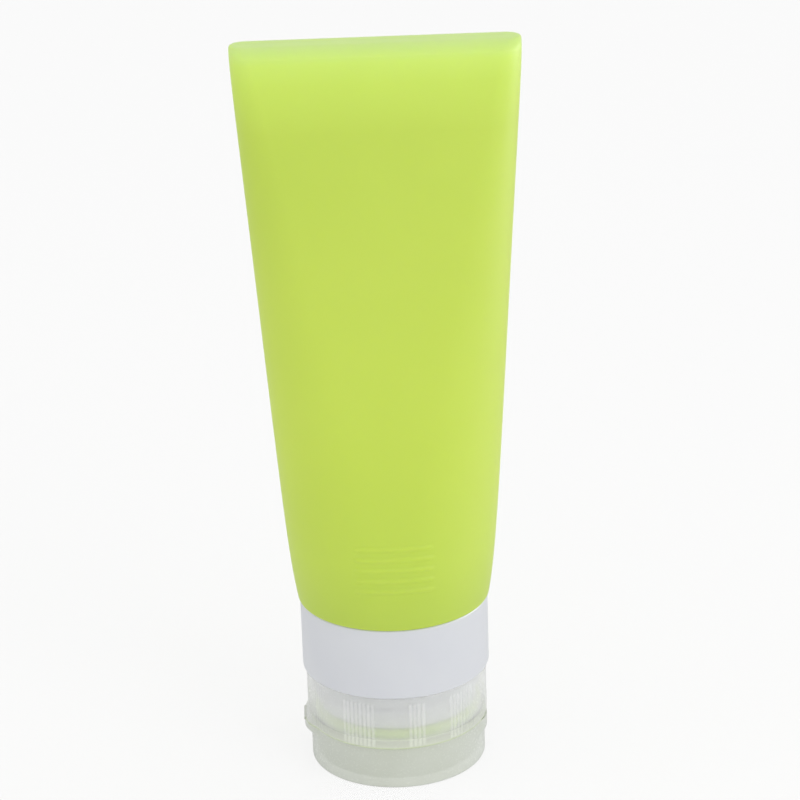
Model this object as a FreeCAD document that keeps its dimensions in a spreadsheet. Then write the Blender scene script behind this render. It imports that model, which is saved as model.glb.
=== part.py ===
import FreeCAD, Part
import math
import os
import re
import Sketcher

# A soft travel bottle that stands on its flip-top cap. All sizes are in millimetres.
# The origin is the middle of the lid's flat outer face and +Z points up to the tube's closed end.
# The tube's wide faces look along Y, the lid's hinge is on the -X side and its thumb tab on the +X side.

# Driving dimensions
SIZES = {
    # Heights, from the lid's flat face upwards
    "lid_height": 8.7,
    "skirt_height": 11.5,
    "collar_height": 14.3,
    "tube_length": 111.5,
    # Outside of the tube, the collar, the cap and the lid
    "end_half_width": 27.5,
    "end_half_depth": 5.0,
    "end_corner": 4.6,
    "end_round": 1.8,
    "shoulder_radius": 19.45,
    "shoulder_flat": 0.1,
    "shoulder_round": 1.6,
    "collar_radius": 18.4,
    "skirt_radius": 17.9,
    "lid_radius": 17.3,
    "edge_round": 0.4,
    "lid_round": 1.0,
    # Walls
    "soft_wall": 2.4,
    "end_wall": 3.0,
    "end_side_wall": 1.9,
    "collar_wall": 1.4,
    "neck_wall": 1.5,
    "sleeve_wall": 1.15,
    "rigid_wall": 1.1,
    "deck_wall": 1.25,
    # Clearances between seated pieces, at the lid's parting, over the skirt and in the thread
    "seat_gap": 0.05,
    "lid_gap": 0.15,
    "skirt_gap": 0.2,
    "thread_gap": 0.35,
    # Thread of the neck and the cap
    "thread_pitch": 3.0,
    "thread_depth": 0.85,
    "thread_sink": 0.3,
    "tooth_root": 0.95,
    "tooth_crest": 0.45,
    "thread_start": 1.45,
    "neck_turns": 1.5,
    "cap_turns": 1.15,
    # Neck, its bead and its stiffening sleeve
    "neck_lining": 1.65,
    "web": 1.6,
    "bead_height": 0.45,
    "bead_flat": 1.0,
    "bead_rise": 6.5,
    "flange_thickness": 1.0,
    "sleeve_length": 11.2,
    # Seal, spout, valve, retaining ring and plug
    "seal_thickness": 2.0,
    "seal_inset": 0.3,
    "seal_bore": 10.9,
    "boss_height": 0.6,
    "boss_inset": 0.3,
    "spout_radius": 6.2,
    "spout_tip_radius": 5.6,
    "spout_height": 3.3,
    "spout_bore": 4.7,
    "lip_thickness": 1.2,
    "orifice_radius": 3.0,
    "valve_flange_radius": 7.5,
    "valve_flange": 0.8,
    "valve_radius": 4.5,
    "valve_wall": 0.9,
    "valve_drop": 2.1,
    "membrane": 0.6,
    "slit_length": 4.6,
    "slit_width": 0.2,
    "ring_bore": 5.2,
    "ring_radius": 9.25,
    "ring_thickness": 1.3,
    "ring_wall": 1.1,
    "plug_radius": 2.7,
    "plug_entry": 0.9,
    "plug_taper": 0.5,
    "lid_floor": 1.4,
    # Hinge blocks, hinge film and thumb tab
    "hinge_reach": 18.25,
    "hinge_width": 9.0,
    "cap_block_root": 17.0,
    "cap_block_face": 1.2,
    "cap_block_rise": 3.5,
    "cap_block_blend": 0.6,
    "lid_block_root": 16.5,
    "lid_block_face": 2.2,
    "lid_block_drop": 5.6,
    "lid_block_blend": 1.2,
    "film_outer": 0.4,
    "film_inner": 0.16,
    "tab_reach": 18.1,
    "tab_width": 9.0,
    "tab_face": 4.0,
    # Grip ribs on the skirt, in wide and narrow groups; bearings and steps are in degrees
    "rib_height": 8.8,
    "rib_rise": 1.7,
    "rib_half_width": 0.22,
    "rib_depth": 0.2,
    "rib_step": 2.82,
    "rib_sector": 72.0,
    "wide_first": -126.7,
    "narrow_first": -83.1,
}
WIDE_RIBS = 8
NARROW_RIBS = 4
RIB_SECTORS = 5

SHEET_NAME = "Sizes"
ON_AXIS = "0"
LEVEL_SLACK = 0.01

# Levels of the stack, as formulas of the driving dimensions
PARTING = "lid_height"
LID_TOP = PARTING + " - lid_gap"
HINGE_LEVEL = PARTING + " - lid_gap / 2"
COLLAR_FOOT = PARTING + " + skirt_height"
SKIRT_TOP = COLLAR_FOOT + " - skirt_gap"
SHOULDER = COLLAR_FOOT + " + collar_height"
CAVITY_FOOT = SHOULDER + " + soft_wall"
TUBE_END = SHOULDER + " + tube_length"
DECK = PARTING + " + deck_wall"
BOSS_FACE = PARTING + " - boss_height"
SPOUT_TIP = BOSS_FACE + " - spout_height"
LIP = SPOUT_TIP + " + lip_thickness"
SEAL_FOOT = DECK + " + seat_gap"
SEAL_TOP = SEAL_FOOT + " + seal_thickness"
RIM = SEAL_TOP + " + seat_gap"
NECK_END = RIM + " + flange_thickness + seat_gap"
WEB_TOP = COLLAR_FOOT + " + web"
BEAD_LOW = COLLAR_FOOT + " + bead_rise"
BEAD_FOOT = BEAD_LOW + " - bead_height"
BEAD_HIGH = BEAD_LOW + " + bead_flat"
BEAD_TOP = BEAD_HIGH + " + bead_height"
RING_FOOT = DECK + " + seat_gap"
NEST_TOP = RING_FOOT + " + ring_thickness + lid_gap"
VALVE_SEAT = DECK + " - valve_flange - 2 * seat_gap"

# Radii of the fits, worked inwards from the cap's skirt, the collar and the lid
SKIRT_BORE = "skirt_radius - rigid_wall"
NECK_RADIUS = SKIRT_BORE + " - thread_gap - thread_depth"
NECK_BORE = NECK_RADIUS + " - neck_wall"
TUBE_NECK = NECK_BORE + " - seat_gap"
TUBE_BORE = TUBE_NECK + " - neck_lining"
SLEEVE_RADIUS = TUBE_BORE + " - seat_gap"
SLEEVE_BORE = SLEEVE_RADIUS + " - sleeve_wall"
COLLAR_BORE = "collar_radius - collar_wall"
PLUG_BODY = COLLAR_BORE + " - seat_gap"
PLUG_BORE = PLUG_BODY + " - soft_wall"
LID_BORE = "lid_radius - rigid_wall"
BOSS_RADIUS = LID_BORE + " - boss_inset"
RING_NEST = "ring_radius + seat_gap"
VALVE_NEST = "valve_flange_radius + 2 * seat_gap"
VALVE_BORE = "valve_radius - valve_wall"


def make_sheet(doc):
    """Put every driving dimension in a cell whose alias is its name."""
    sheet = doc.addObject("Spreadsheet::Sheet", SHEET_NAME)
    for row, (name, size) in enumerate(SIZES.items(), start=1):
        sheet.set(f"A{row}", name)
        sheet.set(f"B{row}", str(size))
        sheet.setAlias(f"B{row}", name)
    doc.recompute()


def bound(formula):
    """Turn a formula of size names into an expression on the sheet's cells."""
    return re.sub(r"[a-z_]+", lambda word: f"{SHEET_NAME}.{word.group()}", formula)


def new_body(doc, label):
    """Add the body of one piece, named as its file will be."""
    body = doc.addObject("PartDesign::Body", label)
    body.Label = label
    return body


def attached_sketch(body, name, role, height=ON_AXIS, bearing=ON_AXIS):
    """Add a sketch on one of the body's own planes, raised and turned by formulas."""
    sketch = body.newObject("Sketcher::SketchObject", name)
    plane = next(item for item in body.Origin.OriginFeatures if item.Role == role)
    sketch.AttachmentSupport = [(plane, "")]
    sketch.MapMode = "FlatFace"
    if height != ON_AXIS:
        sketch.setExpression("AttachmentOffset.Base.z", bound(height))
    if bearing != ON_AXIS:
        sketch.setExpression("AttachmentOffset.Rotation.Angle", bound(bearing))
    return sketch


def place_point(sketch, edge, end, across, along):
    """Fix one end of an edge by two formulas, or on an axis where a formula is zero."""
    for kind, formula, axis in (("DistanceX", across, -2), ("DistanceY", along, -1)):
        if formula == ON_AXIS:
            sketch.addConstraint(Sketcher.Constraint("PointOnObject", edge, end, axis))
        else:
            index = sketch.addConstraint(Sketcher.Constraint(kind, -1, 1, edge, end, 1.0))
            sketch.setExpression(f"Constraints[{index}]", bound(formula))


def outline(body, name, corners, role="XZ_Plane", height=ON_AXIS, bearing=ON_AXIS):
    """Draw a closed outline of straight edges through corners given as pairs of formulas."""
    sketch = attached_sketch(body, name, role, height, bearing)
    count = len(corners)
    for edge in range(count):
        start = FreeCAD.Vector(edge, edge * edge, 0)
        stop = FreeCAD.Vector(edge + 1, (edge + 1) ** 2, 0)
        sketch.addGeometry(Part.LineSegment(start, stop), False)
    for edge, (across, along) in enumerate(corners):
        sketch.addConstraint(Sketcher.Constraint("Coincident", edge, 2, (edge + 1) % count, 1))
        place_point(sketch, edge, 1, across, along)
    return sketch


def flat_oval(body, name, height, half_x, half_y, corner):
    """Draw a rectangle with round corners, square to the bottle's axis at one height."""
    sketch = attached_sketch(body, name, "XY_Plane", height)
    quarter = math.pi / 2
    sides = ((1, 1), (-1, 1), (-1, -1), (1, -1))
    for turn, (side_x, side_y) in enumerate(sides):
        circle = Part.Circle(FreeCAD.Vector(10 * side_x, 5 * side_y, 0), FreeCAD.Vector(0, 0, 1), 2)
        sketch.addGeometry(Part.ArcOfCircle(circle, turn * quarter, (turn + 1) * quarter), False)
    for turn in range(4):
        start = sketch.getPoint(turn, 2)
        stop = sketch.getPoint((turn + 1) % 4, 1)
        sketch.addGeometry(Part.LineSegment(start, stop), False)
    for turn, (side_x, side_y) in enumerate(sides):
        sketch.addConstraint(Sketcher.Constraint("Tangent", turn, 2, turn + 4, 1))
        sketch.addConstraint(Sketcher.Constraint("Tangent", turn + 4, 2, (turn + 1) % 4, 1))
        across = f"{side_x} * ({half_x} - ({corner}))"
        along = f"{side_y} * ({half_y} - ({corner}))"
        place_point(sketch, turn, 3, across, along)
    for turn in range(1, 4):
        sketch.addConstraint(Sketcher.Constraint("Equal", 0, turn))
    index = sketch.addConstraint(Sketcher.Constraint("Radius", 0, 2.0))
    sketch.setExpression(f"Constraints[{index}]", bound(corner))
    return sketch


def turned(body, name, corners, kind="PartDesign::Revolution"):
    """Turn an outline of (radius, height) corners about the bottle's axis, to add or to cut."""
    sketch = outline(body, name + "_outline", corners)
    feature = body.newObject(kind, name)
    feature.Profile = sketch
    feature.ReferenceAxis = (sketch, ["V_Axis"])
    feature.Angle = 360.0
    return feature


def lofted(body, name, upper, lower, kind="PartDesign::AdditiveLoft"):
    """Join two level outlines by straight lines from the upper one down, to add or to cut."""
    feature = body.newObject(kind, name)
    feature.Profile = upper
    feature.Sections = [lower]
    feature.Ruled = True
    return feature


def threaded(body, name, root, crest, middle, turns):
    """Wind one right-hand tooth up the wall, from its middle height at the start."""
    sketch = outline(body, name + "_tooth", [
        (root, f"{middle} - tooth_root"),
        (crest, f"{middle} - tooth_crest"),
        (crest, f"{middle} + tooth_crest"),
        (root, f"{middle} + tooth_root"),
    ])
    feature = body.newObject("PartDesign::AdditiveHelix", name)
    feature.Profile = sketch
    feature.ReferenceAxis = (sketch, ["V_Axis"])
    feature.Mode = "pitch-turns-angle"
    feature.setExpression("Pitch", bound("thread_pitch"))
    feature.setExpression("Turns", bound(turns))
    return feature


def block(body, name, corners, width):
    """Pad an outline of (x, z) corners to both sides of the XZ plane."""
    sketch = outline(body, name + "_outline", corners)
    feature = body.newObject("PartDesign::Pad", name)
    feature.Profile = sketch
    feature.SideType = "Symmetric"
    feature.setExpression("Length", bound(width))
    return feature


def rounded(body, name, radius, chosen):
    """Round the edges of the body's last feature whose boxes pass a test."""
    body.Document.recompute()
    base = body.Tip
    names = [f"Edge{i}" for i, edge in enumerate(base.Shape.Edges, start=1) if chosen(edge.BoundBox)]
    feature = body.newObject("PartDesign::Fillet", name)
    feature.Base = (base, names)
    feature.setExpression("Radius", bound(radius))
    return feature


def level(box):
    """Say whether an edge with this box lies level."""
    return box.ZLength < LEVEL_SLACK


def repeated(body, name, sketch, spacing, count):
    """Make a pattern about the bottle's axis, for use inside a pattern of patterns."""
    pattern = body.newObject("PartDesign::PolarPattern", name)
    pattern.Axis = (sketch, ["N_Axis"])
    pattern.Mode = "Spacing"
    pattern.setExpression("Offset", bound(spacing))
    pattern.Occurrences = count
    return pattern


def grip_ribs(body, name, first, count):
    """Add groups of upright ribs to the skirt: some ribs a step apart, again in every sector."""
    sketch = outline(body, name + "_section", [
        ("skirt_radius - 2 * rib_depth", "-2 * rib_half_width"),
        ("skirt_radius + rib_depth", "-rib_half_width"),
        ("skirt_radius + rib_depth", "rib_half_width"),
        ("skirt_radius - 2 * rib_depth", "2 * rib_half_width"),
    ], "XY_Plane", f"{PARTING} + rib_rise", first)
    rib = body.newObject("PartDesign::Pad", name)
    rib.Profile = sketch
    rib.setExpression("Length", bound("rib_height"))
    pattern = body.newObject("PartDesign::MultiTransform", name + "_groups")
    pattern.Originals = [rib]
    pattern.Transformations = [
        repeated(body, name + "_steps", sketch, "rib_step", count),
        repeated(body, name + "_sectors", sketch, "rib_sector", RIB_SECTORS),
    ]
    body.Tip = pattern


def squeeze_tube(doc):
    """Soft tube: round at its shoulder, flat at its closed end, with a neck that lines the collar."""
    body = new_body(doc, "squeeze_tube")
    end = flat_oval(body, "end_section", TUBE_END, "end_half_width", "end_half_depth", "end_corner")
    shoulder = flat_oval(body, "shoulder_section", SHOULDER, "shoulder_radius", "shoulder_radius",
                         "shoulder_radius - shoulder_flat")
    lofted(body, "wall", end, shoulder)
    doc.recompute()
    top = body.Shape.BoundBox.ZMax
    foot = body.Shape.BoundBox.ZMin
    rounded(body, "end_edges", "end_round", lambda box: box.ZMin > top - LEVEL_SLACK)
    rounded(body, "shoulder_edges", "shoulder_round", lambda box: box.ZMax < foot + LEVEL_SLACK)
    turned(body, "neck", [
        (ON_AXIS, NECK_END),
        (TUBE_NECK, NECK_END),
        (TUBE_NECK, f"{WEB_TOP} + seat_gap"),
        (PLUG_BODY, f"{WEB_TOP} + seat_gap"),
        (PLUG_BODY, BEAD_FOOT),
        (f"{PLUG_BODY} + bead_height", BEAD_LOW),
        (f"{PLUG_BODY} + bead_height", BEAD_HIGH),
        (PLUG_BODY, BEAD_TOP),
        (PLUG_BODY, CAVITY_FOOT),
        (ON_AXIS, CAVITY_FOOT),
    ])
    cavity_end = flat_oval(body, "cavity_end", f"{TUBE_END} - end_wall", "end_half_width - soft_wall",
                           "end_half_depth - end_side_wall", "end_corner - end_side_wall")
    cavity_foot = flat_oval(body, "cavity_foot", CAVITY_FOOT, "shoulder_radius - soft_wall",
                            "shoulder_radius - soft_wall", "shoulder_radius - soft_wall - shoulder_flat")
    lofted(body, "cavity", cavity_end, cavity_foot, "PartDesign::SubtractiveLoft")
    turned(body, "neck_bore", [
        (ON_AXIS, RIM),
        (TUBE_BORE, RIM),
        (TUBE_BORE, f"{WEB_TOP} + soft_wall"),
        (PLUG_BORE, BEAD_TOP),
        (PLUG_BORE, f"{SHOULDER} - soft_wall"),
        ("shoulder_radius - soft_wall", CAVITY_FOOT),
        (ON_AXIS, f"{CAVITY_FOOT} + seat_gap"),
    ], "PartDesign::Groove")
    return body


def neck_collar(doc):
    """Rigid collar: an outer band over the tube's foot and a threaded neck below it."""
    body = new_body(doc, "neck_collar")
    band_top = f"{SHOULDER} - seat_gap"
    turned(body, "band_and_neck", [
        (NECK_BORE, RIM),
        (NECK_RADIUS, RIM),
        (NECK_RADIUS, COLLAR_FOOT),
        ("collar_radius", COLLAR_FOOT),
        ("collar_radius", band_top),
        (COLLAR_BORE, band_top),
        (COLLAR_BORE, f"{BEAD_TOP} + seat_gap"),
        (f"{COLLAR_BORE} + bead_height", f"{BEAD_HIGH} + seat_gap"),
        (f"{COLLAR_BORE} + bead_height", f"{BEAD_LOW} - seat_gap"),
        (COLLAR_BORE, f"{BEAD_FOOT} - seat_gap"),
        (COLLAR_BORE, WEB_TOP),
        (NECK_BORE, WEB_TOP),
    ])
    reach = SIZES["collar_radius"] - LEVEL_SLACK
    rounded(body, "band_edges", "edge_round", lambda box: level(box) and box.XMax > reach)
    threaded(body, "neck_thread", f"{NECK_RADIUS} - thread_sink", f"{NECK_RADIUS} + thread_depth",
             f"{RIM} + thread_start", "neck_turns")
    return body


def neck_sleeve(doc):
    """Rigid sleeve pressed into the soft neck, with a flange that covers the neck's end."""
    body = new_body(doc, "neck_sleeve")
    turned(body, "sleeve", [
        (SLEEVE_BORE, RIM),
        (f"{NECK_BORE} - seat_gap", RIM),
        (f"{NECK_BORE} - seat_gap", f"{RIM} + flange_thickness"),
        (SLEEVE_RADIUS, f"{RIM} + flange_thickness"),
        (SLEEVE_RADIUS, f"{RIM} + sleeve_length"),
        (SLEEVE_BORE, f"{RIM} + sleeve_length"),
    ])
    return body


def seal_ring(doc):
    """Soft flat ring between the cap's deck and the neck's rim."""
    body = new_body(doc, "seal_ring")
    turned(body, "ring", [
        ("seal_bore", SEAL_FOOT),
        (f"{SKIRT_BORE} - seal_inset", SEAL_FOOT),
        (f"{SKIRT_BORE} - seal_inset", SEAL_TOP),
        ("seal_bore", SEAL_TOP),
    ])
    rounded(body, "ring_edges", "edge_round", level)
    return body


def screw_cap(doc):
    """Clear cap: ribbed skirt with an inner thread, deck with the spout, and half of the hinge."""
    body = new_body(doc, "screw_cap")
    turned(body, "skirt_and_deck", [
        ("orifice_radius", SPOUT_TIP),
        ("spout_tip_radius", SPOUT_TIP),
        ("spout_radius", BOSS_FACE),
        (BOSS_RADIUS, BOSS_FACE),
        (BOSS_RADIUS, PARTING),
        ("skirt_radius", PARTING),
        ("skirt_radius", SKIRT_TOP),
        (SKIRT_BORE, SKIRT_TOP),
        (SKIRT_BORE, DECK),
        (f"{RING_NEST} + ring_wall", DECK),
        (f"{RING_NEST} + ring_wall", NEST_TOP),
        (RING_NEST, NEST_TOP),
        (RING_NEST, DECK),
        (VALVE_NEST, DECK),
        (VALVE_NEST, VALVE_SEAT),
        ("spout_bore", VALVE_SEAT),
        ("spout_bore", LIP),
        ("orifice_radius", LIP),
    ])
    block(body, "cap_hinge_block", [
        ("-cap_block_root", PARTING),
        ("-hinge_reach", PARTING),
        ("-hinge_reach", f"{PARTING} + cap_block_face"),
        ("-hinge_reach + cap_block_blend", f"{PARTING} + cap_block_rise"),
        ("-cap_block_root", f"{PARTING} + cap_block_rise"),
    ], "hinge_width")
    threaded(body, "cap_thread", f"{SKIRT_BORE} + thread_sink", f"{SKIRT_BORE} - thread_depth",
             f"{RIM} + thread_start + thread_pitch / 2", "cap_turns")
    grip_ribs(body, "wide_ribs", "wide_first", WIDE_RIBS)
    grip_ribs(body, "narrow_ribs", "narrow_first", NARROW_RIBS)
    return body


def drip_valve(doc):
    """Soft cup with a crossed slit in its floor, held by a flange under the retaining ring."""
    body = new_body(doc, "drip_valve")
    flange_foot = f"{VALVE_SEAT} + seat_gap"
    flange_top = f"{flange_foot} + valve_flange"
    cup_floor = f"{flange_foot} - valve_drop"
    turned(body, "cup", [
        (ON_AXIS, cup_floor),
        ("valve_radius", cup_floor),
        ("valve_radius", flange_foot),
        ("valve_flange_radius", flange_foot),
        ("valve_flange_radius", flange_top),
        (VALVE_BORE, flange_top),
        (VALVE_BORE, f"{cup_floor} + membrane"),
        (ON_AXIS, f"{cup_floor} + membrane"),
    ])
    long_half = "slit_length / 2"
    short_half = "slit_width / 2"
    slits = (("slit_across", long_half, short_half), ("slit_along", short_half, long_half))
    for name, half_x, half_y in slits:
        slit = body.newObject("PartDesign::Pocket", name)
        slit.Profile = outline(body, name + "_outline", [
            (f"-{half_x}", f"-{half_y}"),
            (half_x, f"-{half_y}"),
            (half_x, half_y),
            (f"-{half_x}", half_y),
        ], "XY_Plane")
        slit.Type = "ThroughAll"
        slit.Reversed = True
        body.Tip = slit
    return body


def valve_retainer(doc):
    """Rigid ring pressed into the cap over the valve's flange."""
    body = new_body(doc, "valve_retainer")
    turned(body, "ring", [
        ("ring_bore", RING_FOOT),
        ("ring_radius", RING_FOOT),
        ("ring_radius", f"{RING_FOOT} + ring_thickness"),
        ("ring_bore", f"{RING_FOOT} + ring_thickness"),
    ])
    return body


def flip_lid(doc):
    """Clear lid: a flat-faced cup with the plug for the spout, a thumb tab and half of the hinge."""
    body = new_body(doc, "flip_lid")
    plug_top = f"{SPOUT_TIP} + plug_entry"
    turned(body, "cup", [
        (ON_AXIS, ON_AXIS),
        ("lid_radius", ON_AXIS),
        ("lid_radius", LID_TOP),
        (LID_BORE, LID_TOP),
        (LID_BORE, "lid_floor"),
        ("plug_radius", "lid_floor"),
        ("plug_radius", f"{plug_top} - plug_taper"),
        ("plug_radius - plug_taper", plug_top),
        (ON_AXIS, plug_top),
    ])
    reach = SIZES["lid_radius"] - LEVEL_SLACK
    rounded(body, "foot_edge", "lid_round", lambda box: box.ZMax < LEVEL_SLACK and box.XMax > reach)
    block_foot = f"{LID_TOP} - lid_block_drop"
    block(body, "lid_hinge_block", [
        ("-lid_block_root", LID_TOP),
        ("-hinge_reach", LID_TOP),
        ("-hinge_reach", f"{LID_TOP} - lid_block_face"),
        ("-hinge_reach + lid_block_blend", block_foot),
        ("-lid_block_root", block_foot),
    ], "hinge_width")
    block(body, "thumb_tab", [
        ("lid_block_root", LID_TOP),
        ("tab_reach", LID_TOP),
        ("tab_reach", f"{LID_TOP} - tab_face"),
        ("lid_radius - lid_gap", block_foot),
        ("lid_block_root", block_foot),
    ], "tab_width")
    return body


def half_bar(doc, name, radius):
    """Make a half-round bar on the hinge's axis, with its round side away from the bottle."""
    bar = doc.addObject("Part::Cylinder", name)
    bar.setExpression("Radius", bound(radius))
    bar.setExpression("Height", bound("hinge_width"))
    bar.Angle = 180.0
    lie_along_y = FreeCAD.Rotation(FreeCAD.Vector(1, 0, 0), -90)
    face_outwards = FreeCAD.Rotation(FreeCAD.Vector(0, 0, 1), 90)
    bar.Placement.Rotation = lie_along_y.multiply(face_outwards)
    bar.setExpression("Placement.Base.x", bound("-hinge_reach"))
    bar.setExpression("Placement.Base.y", bound("-hinge_width / 2"))
    bar.setExpression("Placement.Base.z", bound(HINGE_LEVEL))
    return bar


def hinge_film(doc):
    """Thin bowed film that joins the two hinge blocks, half round about the hinge's axis."""
    film = doc.addObject("Part::Cut", "hinge_film")
    film.Label = "hinge_film"
    film.Base = half_bar(doc, "film_outside", "film_outer")
    film.Tool = half_bar(doc, "film_inside", "film_inner")
    return film


def check(doc, pieces):
    """Stop if anything in the document failed or a piece is not one sound solid."""
    for item in doc.Objects:
        if {"Invalid", "Error"} & set(item.State):
            raise RuntimeError(f"{item.Name} failed: {item.State}")
    for piece in pieces:
        shape = piece.Shape
        if shape.isNull() or not shape.isValid() or len(shape.Solids) != 1:
            raise RuntimeError(f"{piece.Label} is not one valid solid")


def liquid_space(doc):
    """Measure what the cavity and the bore took out of the solid tube, in millilitres."""
    return (doc.getObject("neck").Shape.Volume - doc.getObject("neck_bore").Shape.Volume) / 1000


def main():
    """Build every piece, check them and write one file each."""
    doc = FreeCAD.newDocument("travel_bottle")
    make_sheet(doc)
    makers = (squeeze_tube, neck_collar, neck_sleeve, seal_ring, screw_cap, drip_valve,
              valve_retainer, flip_lid, hinge_film)
    pieces = [make(doc) for make in makers]
    doc.recompute()
    check(doc, pieces)
    os.makedirs("parts", exist_ok=True)
    for piece in pieces:
        piece.Shape.exportStep(f"parts/{piece.Label}.step")
        box = piece.Shape.BoundBox
        print(f"{piece.Label}: {piece.Shape.Volume:.0f} mm3, z {box.ZMin:.2f} to {box.ZMax:.2f}")
    print(f"liquid space {liquid_space(doc):.1f} ml")


main()
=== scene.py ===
"""A soft travel bottle that stands on its flip-top cap: its visible pieces, their finishes and the studio.

Sizes are in millimetres in the frame's axes: +Z up from the middle of the lid's flat face, -Y towards
the viewer, the lid's hinge at -X and its thumb tab at +X. Meshes are made in metres.
"""

import logging
import math
from dataclasses import dataclass
from enum import Enum
from typing import Callable, Sequence

import bmesh
import bpy
import numpy as np
from mathutils import Matrix, Vector

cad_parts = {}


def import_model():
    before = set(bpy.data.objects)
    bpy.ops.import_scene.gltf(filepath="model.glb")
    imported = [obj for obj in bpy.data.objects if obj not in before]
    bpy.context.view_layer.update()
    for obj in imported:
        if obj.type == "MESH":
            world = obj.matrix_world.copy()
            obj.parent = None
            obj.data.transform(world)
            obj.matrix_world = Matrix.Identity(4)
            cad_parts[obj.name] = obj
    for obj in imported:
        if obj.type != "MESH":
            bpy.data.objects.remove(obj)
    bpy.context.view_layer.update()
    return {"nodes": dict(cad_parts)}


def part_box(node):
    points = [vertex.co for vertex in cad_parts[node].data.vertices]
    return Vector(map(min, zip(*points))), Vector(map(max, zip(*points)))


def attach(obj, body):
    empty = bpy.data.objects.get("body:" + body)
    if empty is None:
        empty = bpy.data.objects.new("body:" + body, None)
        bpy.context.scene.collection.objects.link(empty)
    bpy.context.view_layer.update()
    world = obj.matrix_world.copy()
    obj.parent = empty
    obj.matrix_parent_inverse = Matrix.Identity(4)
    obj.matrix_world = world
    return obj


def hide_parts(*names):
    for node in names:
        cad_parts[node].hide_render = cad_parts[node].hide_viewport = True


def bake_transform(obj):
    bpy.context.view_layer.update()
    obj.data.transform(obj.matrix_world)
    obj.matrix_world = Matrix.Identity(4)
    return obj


Colour = tuple[float, float, float]
Point = tuple[float, float, float]
Face = tuple[int, ...]
Inputs = dict[str | int, object]
Shaper = Callable[[np.ndarray], np.ndarray]
Material = bpy.types.Material
Piece = bpy.types.Object
Socket = bpy.types.NodeSocket
Tree = bpy.types.NodeTree

LOG = logging.getLogger("travel_bottle")
MM = 0.001
QUARTER_TURN = math.pi / 2
FULL_TURN = 2 * math.pi

# Meshes: where long straight runs get a point near each end, how finely corners and ovals are divided,
# and how points are welded and edges sharpened.
HOLD_SHARE = 0.12
HOLD_RUN = 0.9
FACET = 12.0
LEAST_FACETS = 3
OVAL_DENSITY = 16
POLE_RADIUS = 1e-6
WELD = 1e-7
SHARP_ANGLE = math.radians(42)

# Reliefs: how far in metres a point may lie from the wall that carries one, and the ribs' attribute.
WALL_DEPTH = 2e-5
RIB_MARK = "rib"

# Finishes: detail of the noises, soft borders between colours, the share with which painted colours cover
# the tone, and how squarely a rib has to be seen to show its painted highlight.
CLOUD_DETAIL = 3.0
FINE_DETAIL = 2.0
TONE_LOW = 0.3
TONE_HIGH = 0.7
SOFT_EDGE = 0.4
COVER = 0.85
RIB_FADE = (0.24, 0.46)
LEVEL = (1.0, 1.0, 0.0)
EVEN = (1.0, 1.0, 1.0)
PLAIN_WHITE = (1.0, 1.0, 1.0, 1.0)

# Lugs: reach of the hinge's halves, how deep in the wall a lug starts, and how far round it may go.
HINGE_REACH = 18.56
LUG_DEPTH = 0.3
LUG_SIDE = 0.5


class Body(Enum):
    """Rigid bodies of the frame that the pieces ride on."""

    BOTTLE = "bottle"
    SEAL = "seal"
    CAP = "cap"
    LID = "lid"


class Slot(Enum):
    """Finish slots of the frame's record."""

    LIME = "lime_silicone"
    PALE = "pale_silicone"
    WHITE = "white_plastic"
    CLEAR = "clear_plastic"


class Side(Enum):
    """Sides of the bottle that carry a lug, as the sign of X."""

    HINGE = -1
    TAB = 1


class Blend(Enum):
    """What a Mix node mixes, and how."""

    COLOUR = ("RGBA", "MIX")
    FACTOR = ("RGBA", "MULTIPLY")
    VECTOR = ("VECTOR", "MIX")


def feed(tree: Tree, target: Socket, value: object) -> None:
    """Link a number or a socket to an input, or write a constant in it.

    Args:
        tree: Tree that holds the input.
        target: The input.
        value: What goes into it.
    """
    if isinstance(value, Number):
        value = value.socket
    if isinstance(value, Socket):
        tree.links.new(value, target)
    else:
        target.default_value = value


def add_node(tree: Tree, kind: str, inputs: Inputs | None = None, **settings: str) -> bpy.types.Node:
    """Add a node to a tree.

    Args:
        tree: The tree.
        kind: Kind of the node.
        inputs: What goes into its inputs, by their labels or places.
        settings: The node's own settings.

    Returns:
        The node.
    """
    node = tree.nodes.new(kind)
    for name, value in settings.items():
        setattr(node, name, value)
    for place, value in (inputs or {}).items():
        feed(tree, node.inputs[place], value)
    return node


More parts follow.
